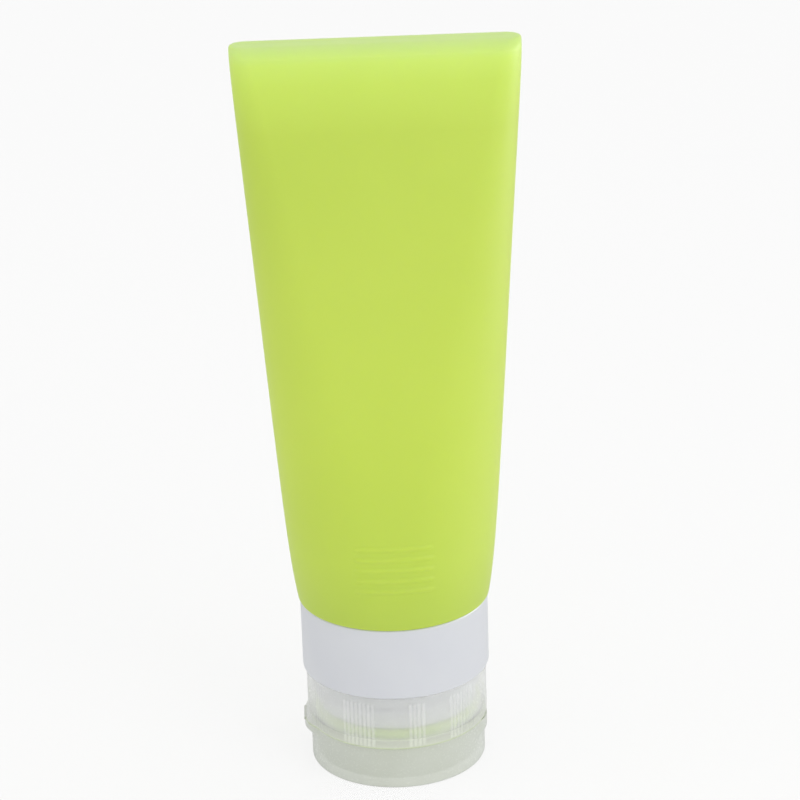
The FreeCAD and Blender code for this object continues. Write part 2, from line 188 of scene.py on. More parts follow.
class Number:
    """A number worked out by the nodes of one tree, so that a rule can be written as a formula."""

    def __init__(self, tree: Tree, socket: Socket) -> None:
        """Keep the socket that gives the number."""
        self.tree = tree
        self.socket = socket

    def do(self, operation: str, *others: "Number | float") -> "Number":
        """Add a Math node whose first input is this number.

        Args:
            operation: The node's operation.
            others: Its further inputs.

        Returns:
            The node's result.
        """
        inputs = dict(enumerate((self, *others)))
        node = add_node(self.tree, "ShaderNodeMath", inputs, operation=operation)
        return Number(self.tree, node.outputs[0])

    def __add__(self, other: "Number | float") -> "Number":
        """Give the sum."""
        return self.do("ADD", other)

    def __sub__(self, other: "Number | float") -> "Number":
        """Give the difference."""
        return self.do("SUBTRACT", other)

    def __mul__(self, other: "Number | float") -> "Number":
        """Give the product."""
        return self.do("MULTIPLY", other)

    def __truediv__(self, other: "Number | float") -> "Number":
        """Give the quotient."""
        return self.do("DIVIDE", other)

    def size(self) -> "Number":
        """Give the number without its sign."""
        return self.do("ABSOLUTE")

    def nearest(self, low: "Number | float", high: "Number | float") -> "Number":
        """Give the nearest whole number between two limits."""
        return self.do("ROUND").do("MAXIMUM", low).do("MINIMUM", high)

    def fade(self, full: "Number | float", gone: "Number | float") -> "Number":
        """Give a share that is one up to a value and falls smoothly to nothing at another.

        Args:
            full: Largest value that still gives one.
            gone: Value from which on the share is nothing.

        Returns:
            The share.
        """
        inputs = {"Value": self, "From Min": full, "From Max": gone, "To Min": 1.0, "To Max": 0.0}
        node = add_node(self.tree, "ShaderNodeMapRange", inputs, interpolation_type="SMOOTHSTEP")
        return Number(self.tree, node.outputs[0])


def split(tree: Tree, vector: Socket) -> tuple[Number, ...]:
    """Split a vector into its three numbers."""
    node = add_node(tree, "ShaderNodeSeparateXYZ", {0: vector})
    return tuple(Number(tree, output) for output in node.outputs)


def show_mix(tree: Tree, share: Number, first: Socket, second: Socket) -> None:
    """Show a mix of two shaders as a material's surface.

    Args:
        tree: Tree of the material.
        share: Share of the second shader.
        first: First shader.
        second: Second shader.
    """
    mix = add_node(tree, "ShaderNodeMixShader", {0: share, 1: first, 2: second})
    tree.links.new(mix.outputs[0], tree.nodes["Material Output"].inputs["Surface"])


class ReliefTree:
    """A geometry tree that raises parts of a mesh by a rule, with a named input for each size."""

    def __init__(self, name: str, sizes: dict[str, float]) -> None:
        """Make the tree's sockets and the numbers that rules start from.

        Args:
            name: Name of the tree.
            sizes: Value of each named input, in metres, radians or counts.
        """
        self.tree = bpy.data.node_groups.new(name, "GeometryNodeTree")
        add_socket = self.tree.interface.new_socket
        for side in ("OUTPUT", "INPUT"):
            add_socket("Geometry", in_out=side, socket_type="NodeSocketGeometry")
        self.values = {}
        for label, value in sizes.items():
            socket = add_socket(label, in_out="INPUT", socket_type="NodeSocketFloat")
            self.values[socket.identifier] = value
        self.entry = add_node(self.tree, "NodeGroupInput")
        position = add_node(self.tree, "GeometryNodeInputPosition")
        self.x, self.y, self.z = split(self.tree, position.outputs[0])
        self.normal = add_node(self.tree, "GeometryNodeInputNormal").outputs[0]
        self.angle = self.y.do("ARCTAN2", self.x)
        self.radius = (self.x * self.x + self.y * self.y).do("SQRT")

    def input(self, label: str) -> Number:
        """Give one of the tree's named inputs as a number."""
        return Number(self.tree, self.entry.outputs[label])

    def on_wall(self, wall: Number) -> Number:
        """Give one for the points of a round wall and nothing for the others."""
        return (self.radius - wall).size().do("LESS_THAN", WALL_DEPTH)

    def outwards(self) -> Socket:
        """Give the unit vector that points away from the bottle's axis."""
        inputs = {0: self.x / self.radius, 1: self.y / self.radius}
        return add_node(self.tree, "ShaderNodeCombineXYZ", inputs).outputs[0]

    def close(
        self, height: Number, direction: Socket, finish: Material, mark: Number | None = None
    ) -> None:
        """Move the points by a height along a direction and end the tree with the finish.

        Args:
            height: Height of the relief at each point.
            direction: Unit vector that the height is measured along.
            finish: Material of the result.
            mark: Share kept on the points as an attribute that the finish can read.
        """
        tree, flow = self.tree, self.entry.outputs["Geometry"]
        if mark is not None:
            inputs = {"Geometry": flow, "Name": RIB_MARK, "Value": mark}
            flow = add_node(tree, "GeometryNodeStoreNamedAttribute", inputs).outputs["Geometry"]
        offset = add_node(tree, "ShaderNodeVectorMath", {0: direction, "Scale": height}, operation="SCALE")
        move = add_node(tree, "GeometryNodeSetPosition", {"Geometry": flow, "Offset": offset.outputs[0]})
        whole = add_node(tree, "GeometryNodeRealizeInstances", {0: move.outputs[0]})
        inputs = {"Geometry": whole.outputs[0], "Material": finish}
        dressed = add_node(tree, "GeometryNodeSetMaterial", inputs)
        add_node(tree, "NodeGroupOutput", {"Geometry": dressed.outputs[0]})

    def apply(self, piece: Piece) -> None:
        """Run the tree on a piece and keep the result as its plain mesh.

        Args:
            piece: The piece.
        """
        modifier = piece.modifiers.new(self.tree.name, "NODES")
        modifier.node_group = self.tree
        for identifier, value in self.values.items():
            modifier[identifier] = value
        settle(piece)


def settle(piece: Piece) -> None:
    """Replace a piece's mesh by what its modifiers make of it, and remove them.

    Args:
        piece: The piece.
    """
    bpy.context.view_layer.update()
    graph = bpy.context.evaluated_depsgraph_get()
    made = bpy.data.meshes.new_from_object(piece.evaluated_get(graph))
    old = piece.data
    piece.modifiers.clear()
    piece.data = made
    bpy.data.meshes.remove(old)
    made.name = piece.name


@dataclass(frozen=True)
class Corner:
    """One corner of a turned outline.

    Attributes:
        radius: Distance from the bottle's axis.
        height: Height above the lid's flat face.
        fillet: Radius that rounds the corner.
        step: Longest division of the straight run after it, where it differs from the outline's.
    """

    radius: float
    height: float
    fillet: float = 0.0
    step: float = 0.0


def arc_points(
    before: np.ndarray, here: np.ndarray, after: np.ndarray, fillet: float, facet: float
) -> list[np.ndarray]:
    """Round one corner of an outline.

    Args:
        before: Corner before it.
        here: The corner.
        after: Corner after it.
        fillet: Radius of the rounding.
        facet: Largest turn between two points of the arc, in degrees.

    Returns:
        Points of the arc, or the corner alone where it is sharp.
    """
    if fillet <= 0:
        return [here]
    inward = (before - here) / np.linalg.norm(before - here)
    outward = (after - here) / np.linalg.norm(after - here)
    half = math.acos(max(-1.0, min(1.0, float(inward @ outward)))) / 2
    reach = fillet / math.tan(half)
    middle = (inward + outward) / np.linalg.norm(inward + outward)
    centre = here + middle * fillet / math.sin(half)
    start = here + inward * reach - centre
    stop = here + outward * reach - centre
    sweep = math.pi - 2 * half
    count = max(LEAST_FACETS, math.ceil(math.degrees(sweep) / facet))
    shares = np.linspace(0, 1, count + 1)
    blend = [math.sin((1 - s) * sweep) * start + math.sin(s * sweep) * stop for s in shares]
    return [centre + point / math.sin(sweep) for point in blend]


def turned_outline(
    corners: Sequence[Corner], step: float, closed: bool = True, facet: float = FACET
) -> np.ndarray:
    """Draw an outline with rounded corners and evenly divided straight runs.

    Args:
        corners: Corners in order.
        step: Longest division of a straight run.
        closed: Whether the last corner joins the first.
        facet: Largest turn between two points of a round corner, in degrees.

    Returns:
        Pairs of radius and height.
    """
    points = [np.array((c.radius, c.height)) for c in corners]
    count = len(points)
    arcs = []
    for i, corner in enumerate(corners):
        inner = closed or 0 < i < count - 1
        fillet = corner.fillet if inner else 0.0
        arcs.append(arc_points(points[i - 1], points[i], points[(i + 1) % count], fillet, facet))
    drawn: list[np.ndarray] = []
    for i, arc in enumerate(arcs):
        drawn.extend(arc)
        if i == count - 1 and not closed:
            break
        start, stop = arc[-1], arcs[(i + 1) % count][0]
        length = np.linalg.norm(stop - start)
        parts = max(1, math.ceil(length / (corners[i].step or step)))
        hold = HOLD_SHARE / parts
        ends = {hold, 1 - hold} if length > HOLD_RUN else set()
        shares = sorted({*ends, *(k / parts for k in range(1, parts))})
        drawn.extend(start + (stop - start) * s for s in shares)
    return np.array(drawn)


def turned_mesh(
    name: str, outline: np.ndarray, segments: int, closed: bool = True, shaper: Shaper | None = None
) -> Piece:
    """Turn an outline about the bottle's axis.

    Args:
        name: Name of the piece.
        outline: Pairs of radius and height.
        segments: Divisions of the full turn.
        closed: Whether the outline's last point joins its first.
        shaper: Optional function that moves the turned points.

    Returns:
        The new piece.
    """
    angle = np.arange(segments) * FULL_TURN / segments
    points: list[np.ndarray] = []
    rows: list[list[int]] = []
    for radius, height in outline:
        start = sum(len(part) for part in points)
        if radius < POLE_RADIUS:
            points.append(np.array([[0.0, 0.0, height]]))
            rows.append([start])
            continue
        ring = np.stack([radius * np.cos(angle), radius * np.sin(angle), np.full(segments, height)], axis=1)
        points.append(ring)
        rows.append(list(range(start, start + segments)))
    faces = []
    pairs = list(zip(rows, rows[1:])) + ([(rows[-1], rows[0])] if closed else [])
    for low, high in pairs:
        faces.extend(band(low, high, segments))
    place = np.concatenate(points)
    return new_piece(name, place if shaper is None else shaper(place), faces)


def band(low: list[int], high: list[int], segments: int) -> list[Face]:
    """Join two rows of points, either of which may be a single point on the axis.

    Args:
        low: Indices of the first row.
        high: Indices of the second row.
        segments: Points of a full row.

    Returns:
        The faces between them.
    """
    faces = []
    for k in range(segments):
        n = (k + 1) % segments
        if len(low) == 1:
            faces.append((low[0], high[n], high[k]))
        elif len(high) == 1:
            faces.append((low[k], low[n], high[0]))
        else:
            faces.append((low[k], low[n], high[n], high[k]))
    return faces


def new_piece(name: str, points: np.ndarray, faces: list[Face]) -> Piece:
    """Make a smooth closed piece from points in millimetres.

    Args:
        name: Name of the piece.
        points: Its points.
        faces: Its faces as indices of the points.

    Returns:
        The new piece, with its faces outwards.
    """
    mesh = bpy.data.meshes.new(name)
    mesh.from_pydata((points * MM).tolist(), [], faces)
    work = bmesh.new()
    work.from_mesh(mesh)
    bmesh.ops.remove_doubles(work, verts=work.verts, dist=WELD)
    bmesh.ops.recalc_face_normals(work, faces=work.faces)
    work.to_mesh(mesh)
    work.free()
    mesh.shade_smooth()
    mesh.set_sharp_from_angle(angle=SHARP_ANGLE)
    piece = bpy.data.objects.new(name, mesh)
    bpy.context.scene.collection.objects.link(piece)
    return piece


def rounded_rectangle(half_x: float, half_y: float, corner: float, count: int) -> np.ndarray:
    """Draw a rectangle with round corners, its points evenly spaced from the +X axis round to it again.

    Args:
        half_x: Half of its width.
        half_y: Half of its depth.
        corner: Radius of its corners.
        count: Number of points, a multiple of four.

    Returns:
        Pairs of x and y.
    """
    flat_x, flat_y = half_x - corner, half_y - corner
    arc = corner * QUARTER_TURN
    run = np.linspace(0, flat_y + arc + flat_x, count // 4 + 1)
    turn = np.clip((run - flat_y) / corner, 0, QUARTER_TURN)
    x = flat_x + corner * np.cos(turn) - np.maximum(run - flat_y - arc, 0)
    y = np.minimum(run, flat_y) + corner * np.sin(turn)
    quarter = np.stack([x, y], axis=1)
    back = quarter[::-1]
    signs = ((quarter, (1, 1)), (back, (-1, 1)), (quarter, (-1, -1)), (back, (1, -1)))
    return np.concatenate([(part * np.array(sign))[:-1] for part, sign in signs])


def oval(half_x: float, half_y: float, count: int) -> np.ndarray:
    """Draw an ellipse, its points evenly spaced from the +X axis round to it again.

    Args:
        half_x: Half of its width.
        half_y: Half of its depth.
        count: Number of points, a multiple of four.

    Returns:
        Pairs of x and y.
    """
    turn = np.linspace(0, FULL_TURN, OVAL_DENSITY * count + 1)
    path = np.column_stack([half_x * np.cos(turn), half_y * np.sin(turn)])
    run = np.concatenate([[0.0], np.cumsum(np.hypot(*np.diff(path, axis=0).T))])
    even = np.interp(np.arange(count) * run[-1] / count, run, turn)
    return np.column_stack([half_x * np.cos(even), half_y * np.sin(even)])


def coat(piece: Piece, finish: Material) -> None:
    """Give a piece one finish in place of what it has."""
    piece.data.materials.clear()
    piece.data.materials.append(finish)


def dress(piece: Piece, finish: Material, slot: Slot, body: Body, *nodes: str) -> None:
    """Give a piece its finish, hang it on the body that it rides on, and hide the frame nodes that it
    stands for.

    Args:
        piece: The finished piece.
        finish: Its material.
        slot: The record's finish slot; not used.
        body: The body that it moves with.
        nodes: Frame nodes that it stands for.
    """
    coat(piece, finish)
    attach(piece, body.value)
    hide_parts(*nodes)
    LOG.info("%s rides on %s: %d faces", piece.name, body.value, len(piece.data.polygons))


def levels(node: str) -> tuple[float, float, float]:
    """Give a frame node's lowest and highest level and its reach to +X, in millimetres."""
    low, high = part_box(node)
    return low.z / MM, high.z / MM, high.x / MM


@dataclass(frozen=True)
class Grain:
    """Uneven tone and fine texture of a moulded surface.

    Attributes:
        cloud: Cycles of the slow tone change in a metre.
        fine: Cycles of the fine texture in a metre.
        bump: Depth of the fine texture in millimetres.
        rough_low: Least roughness.
        rough_high: Greatest roughness.
    """

    cloud: float
    fine: float
    bump: float
    rough_low: float
    rough_high: float


SILICONE_GRAIN = Grain(cloud=22.0, fine=2600.0, bump=0.005, rough_low=0.46, rough_high=0.60)
SATIN_GRAIN = Grain(cloud=60.0, fine=3200.0, bump=0.003, rough_low=0.38, rough_high=0.48)
HAZY_GRAIN = Grain(cloud=90.0, fine=2400.0, bump=0.002, rough_low=0.20, rough_high=0.32)


class Finish:
    """A node material whose tone, roughness and texture come from noise on the piece's own coordinates."""

    def __init__(self, name: str, grain: Grain, dark: Colour, light: Colour) -> None:
        """Make the material.

        Args:
            name: Name of the material.
            grain: Its unevenness and texture.
            dark: Colour where the tone is lowest.
            light: Colour where it is highest.
        """
        self.material = bpy.data.materials.new(name)
        self.material.use_nodes = True
        self.tree = self.material.node_tree
        self.shader = self.tree.nodes["Principled BSDF"]
        self.place = add_node(self.tree, "ShaderNodeTexCoord").outputs["Object"]
        cloud = self.noise(grain.cloud, CLOUD_DETAIL)
        fine = self.noise(grain.fine, FINE_DETAIL)
        self.tone = self.ramp(cloud, ((TONE_LOW, dark), (TONE_HIGH, light)))
        inputs = {"Value": fine, "To Min": grain.rough_low, "To Max": grain.rough_high}
        rough = add_node(self.tree, "ShaderNodeMapRange", inputs)
        inputs = {"Strength": 1.0, "Distance": grain.bump * MM, "Height": fine}
        bump = add_node(self.tree, "ShaderNodeBump", inputs)
        self.set(Base_Color=self.tone, Roughness=rough.outputs[0], Normal=bump.outputs[0])

    def set(self, **values: object) -> None:
        """Link or write values to the shader's own sockets, with words joined by underscores."""
        for label, value in values.items():
            feed(self.tree, self.shader.inputs[label.replace("_", " ")], value)

    def noise(self, scale: float, detail: float) -> Socket:
        """Give a noise on the piece's own coordinates."""
        inputs = {"Vector": self.place, "Scale": scale, "Detail": detail}
        return add_node(self.tree, "ShaderNodeTexNoise", inputs).outputs["Fac"]

    def ramp(self, share: Number | Socket, stops: Sequence[tuple[float, Colour]]) -> Socket:
        """Turn a share into a colour.

        Args:
            share: The share.
            stops: Position and colour of each stop, in order.

        Returns:
            The colour.
        """
        node = add_node(self.tree, "ShaderNodeValToRGB", {0: share})
        elements = node.color_ramp.elements
        while len(elements) < len(stops):
            elements.new(1.0)
        for element, (position, colour) in zip(elements, stops):
            element.position = position
            element.color = (*colour, 1.0)
        return node.outputs[0]

    def height(self) -> Number:
        """Give the height above the lid's flat face in metres."""
        return split(self.tree, self.place)[2]

    def below(self, level: float) -> Number:
        """Give a share that is one up to a level and fades softly above it."""
        return self.height().fade(level * MM, (level + SOFT_EDGE) * MM)

    def round_normal(self, least: float) -> Socket:
        """Give the plain normal of a round wall without its small relief, and the true one further in.

        Args:
            least: Radius from which on the wall counts as round, in metres.

        Returns:
            The normal.
        """
        tree = self.tree
        level = add_node(tree, "ShaderNodeVectorMath", {0: self.place, 1: LEVEL}, operation="MULTIPLY")
        away = level.outputs[0]
        length = add_node(tree, "ShaderNodeVectorMath", {0: away}, operation="LENGTH")
        outer = Number(tree, length.outputs["Value"]).do("GREATER_THAN", least)
        spaces = {"vector_type": "NORMAL", "convert_from": "OBJECT", "convert_to": "WORLD"}
        turned = add_node(tree, "ShaderNodeVectorTransform", {0: away}, **spaces)
        true = add_node(tree, "ShaderNodeNewGeometry").outputs["Normal"]
        return self.mixed(Blend.VECTOR, outer, true, turned.outputs[0])

    def facing(self, blend: float, normal: Socket) -> Number:
        """Give a share that rises where a normal turns away from the viewer."""
        node = add_node(self.tree, "ShaderNodeLayerWeight", {"Blend": blend, "Normal": normal})
        return Number(self.tree, node.outputs["Facing"])

    def mixed(
        self, blend: Blend, share: Number | float, first: Socket, second: Socket | Colour
    ) -> Socket:
        """Mix two colours or vectors.

        Args:
            blend: What is mixed, and how.
            share: Share of the second.
            first: The first.
            second: The second, or a plain colour.

        Returns:
            The mixture.
        """
        kind, how = blend.value
        node = add_node(self.tree, "ShaderNodeMix", {0: share}, data_type=kind, blend_type=how)
        ends = [socket for socket in node.inputs if socket.type == kind and socket.name in "AB"]
        feed(self.tree, ends[0], first)
        feed(self.tree, ends[1], (*second, 1.0) if isinstance(second, tuple) else second)
        return next(socket for socket in node.outputs if socket.type == kind)


@dataclass(frozen=True)
class Silicone:
    """Matt silicone that lets light in.

    Attributes:
        name: Name of the material.
        dark: Colour where the tone is lowest.
        light: Colour where it is highest.
        glow: How far each colour of light travels inside, in millimetres.
        depth: Share of the light that travels inside.
        sheen: Strength of the pale bloom on the edges.
        sheen_rough: Roughness of the bloom.
        sheen_tint: Its colour.
    """

    name: str
    dark: Colour
    light: Colour
    glow: Colour
    depth: float
    sheen: float
    sheen_rough: float = 0.35
    sheen_tint: Colour = (0.93, 0.95, 1.0)

    def make(self) -> Material:
        """Make the material."""
        return self.finish().material

    def finish(self) -> Finish:
        """Make the material's nodes.

        Returns:
            The finish.
        """
        finish = Finish(self.name, SILICONE_GRAIN, self.dark, self.light)
        finish.set(
            Subsurface_Weight=self.depth,
            Subsurface_Radius=self.glow,
            Subsurface_Scale=MM,
            Sheen_Weight=self.sheen,
            Sheen_Roughness=self.sheen_rough,
            Sheen_Tint=(*self.sheen_tint, 1.0),
        )
        return finish


@dataclass(frozen=True)
class TubeSilicone(Silicone):
    """Silicone of the tube, with painted light by height: painted shade that darkens it towards its thick
    foot, and a painted pale sheen and glow on its thin end.

    Attributes:
        foot: Height where the painted light starts.
        end: Height where it ends.
        painted_light_steps: Share of that height and the factor on the tone there: factors below one paint
            shade, factors above one paint light.
    """

    foot: float = 34.0
    end: float = 146.0
    painted_light_steps: tuple[tuple[float, Colour], ...] = (
        (0.0, (0.86, 0.885, 0.93)),
        (0.12, (0.97, 0.98, 0.97)),
        (0.30, (1.02, 1.015, 1.0)),
        (0.66, (0.97, 0.97, 0.97)),
        (0.86, (0.97, 0.98, 1.02)),
        (0.94, (1.06, 1.09, 1.30)),
        (0.975, (1.12, 1.16, 1.72)),
        (1.0, (1.10, 1.16, 2.9)),
    )

    def make(self) -> Material:
        """Make the material.

        Returns:
            The material.
        """
        finish = self.finish()
        # Painted light by height: the tone is darkened towards the foot as painted shade and paled at the
        # end as painted sheen and glow.
        risen = (finish.height() - self.foot * MM) / ((self.end - self.foot) * MM)
        factor = finish.ramp(risen, self.painted_light_steps)
        finish.set(Base_Color=finish.mixed(Blend.FACTOR, 1.0, finish.tone, factor))
        return finish.material


@dataclass(frozen=True)
class SatinPlastic:
    """White moulded plastic with a satin skin, with painted light on the neck that the cap covers: a whiter
    colour that offsets the shade inside the cap.

    Attributes:
        name: Name of the material.
        dark: Colour where the tone is lowest.
        light: Colour where it is highest.
        neck: Whiter colour painted on the neck as painted light, offsetting the shade inside the cap.
        neck_top: Height up to which the neck is covered.
        depth: Share of the light that travels inside.
        glow: How far it travels.
        gloss: Strength of the gloss.
    """

    name: str
    dark: Colour
    light: Colour
    neck: Colour
    neck_top: float
    depth: float = 0.15
    glow: float = 0.6
    gloss: float = 1.0

    def make(self) -> Material:
        """Make the material.

        Returns:
            The material.
        """
        finish = Finish(self.name, SATIN_GRAIN, self.dark, self.light)
        # Painted light: the neck under the cap gets the whiter neck colour to offset the shade there.
        low = finish.below(self.neck_top) * COVER
        finish.set(
            Base_Color=finish.mixed(Blend.COLOUR, low, finish.tone, self.neck),
            Subsurface_Weight=self.depth,
            Subsurface_Radius=EVEN,
            Subsurface_Scale=self.glow * MM,
            Specular_IOR_Level=self.gloss,
        )
        return finish.material


@dataclass(frozen=True)
class HazyPlastic:
    """Clear moulded plastic with a milky haze, denser where its surface turns away, with painted light in
    its colours: at its edges, on its lower band and rim, and on its ribs.

    Attributes:
        name: Name of the material.
        dark: Colour of the haze where the tone is lowest.
        light: Colour where it is highest.
        edge: Colour the haze turns to as its surface turns away: painted edge light, paler than the tone on
            the lid and a touch darker on the cap.
        haze: Share of the light that the haze holds in a surface seen straight on.
        edge_haze: Share in a surface seen along it.
        turn: How early the haze grows as the surface turns away.
        solid_top: Height up to which the haze is dense: the plastic is solid there, and a little above it
            the dense pale haze is painted light over the shaded crevice under the seal ring.
        solid_haze: Share of the light that the haze holds there.
        solid: Colour of the haze there, greener than the tone: painted green light from the seal ring.
        rim: Colour along the lower edge: a yellow-green line of painted green light at the parting.
        rim_top: Height up to which it has that colour.
        rib_highlight_haze: Share that raised ribs add where they face the viewer, so that they show as pale
            lines: painted highlights on the ribs.
        round_from: Radius from which on the wall is taken as round, whatever its relief.
        index: Refractive index of its gloss.
    """

    name: str
    dark: Colour
    light: Colour
    edge: Colour
    haze: float
    edge_haze: float
    turn: float = 0.45
    solid_top: float = -1.0
    solid_haze: float = 0.0
    solid: Colour = (0.90, 0.95, 0.79)
    rim: Colour = (0.78, 0.88, 0.56)
    rim_top: float = -1.0
    rib_highlight_haze: float = 0.0
    round_from: float = 100.0
    index: float = 1.49

    def make(self) -> Material:
        """Make the material.

        Returns:
            The material.
        """
        finish = Finish(self.name, HAZY_GRAIN, self.dark, self.light)
        tree = finish.tree
        away = finish.facing(self.turn, finish.round_normal(self.round_from * MM))
        low = finish.below(self.solid_top)
        foot = finish.below(self.rim_top)
        # Painted green light from the seal ring on the dense lower band.
        tone = finish.mixed(Blend.COLOUR, low * COVER, finish.tone, self.solid)
        # Painted edge light: the colour turns to the edge colour as the surface turns away from the viewer.
        tone = finish.mixed(Blend.COLOUR, away, tone, self.edge)
        # Painted green light: a yellow-green line along the lower edge.
        tone = finish.mixed(Blend.COLOUR, foot * COVER, tone, self.rim)
        finish.set(Base_Color=tone, IOR=self.index)
        mark = add_node(tree, "ShaderNodeAttribute", attribute_name=RIB_MARK)
        rib = Number(tree, mark.outputs["Fac"])
        share = away * (self.edge_haze - self.haze) + self.haze
        share = share.do("MAXIMUM", low * self.solid_haze)
        # Painted highlights: ribs that face the viewer get more haze and show as pale lines, fading as they
        # turn away.
        share = share + rib * away.fade(*RIB_FADE) * self.rib_highlight_haze
        through = add_node(tree, "ShaderNodeBsdfTransparent")
        show_mix(tree, share, through.outputs[0], finish.shader.outputs[0])
        return finish.material


LIME = TubeSilicone(
    "lime_silicone", (0.565, 0.725, 0.082), (0.61, 0.77, 0.096), (1.6, 1.9, 0.5), depth=0.45, sheen=0.07,
)
# Painted light: a brighter, more saturated copy of the lime silicone for the seal ring, offsetting the
# shade inside the cap.
BRIGHTENED_RING = Silicone(
    "brightened_ring_silicone", (0.62, 0.86, 0.028), (0.66, 0.90, 0.036), (1.6, 1.9, 0.5), depth=0.30, sheen=0.10,
)
PALE = Silicone("pale_silicone", (0.74, 0.76, 0.72), (0.80, 0.82, 0.78), EVEN, depth=0.40, sheen=0.10)
# The neck colour is painted light that offsets the shade inside the cap.
WHITE = SatinPlastic(
    "satin_white", (0.665, 0.68, 0.73), (0.695, 0.71, 0.75), (0.85, 0.86, 0.87), neck_top=19.4,
)
CLEAR = HazyPlastic(
    "hazy_clear", (0.92, 0.935, 0.93), (0.955, 0.965, 0.96), (0.90, 0.91, 0.915), haze=0.29, edge_haze=0.80,
    solid_top=10.6, solid_haze=0.65, rim_top=8.75, rib_highlight_haze=0.15, round_from=17.5,
)
# The lid's haze is greyer and greener than the cap's; its green tint is painted green light from the seal
# ring and the tube.
LID_CLEAR = HazyPlastic(
    "hazy_clear_lid", (0.66, 0.695, 0.60), (0.705, 0.74, 0.655), (0.73, 0.76, 0.71),
    haze=0.84, edge_haze=0.90,
)


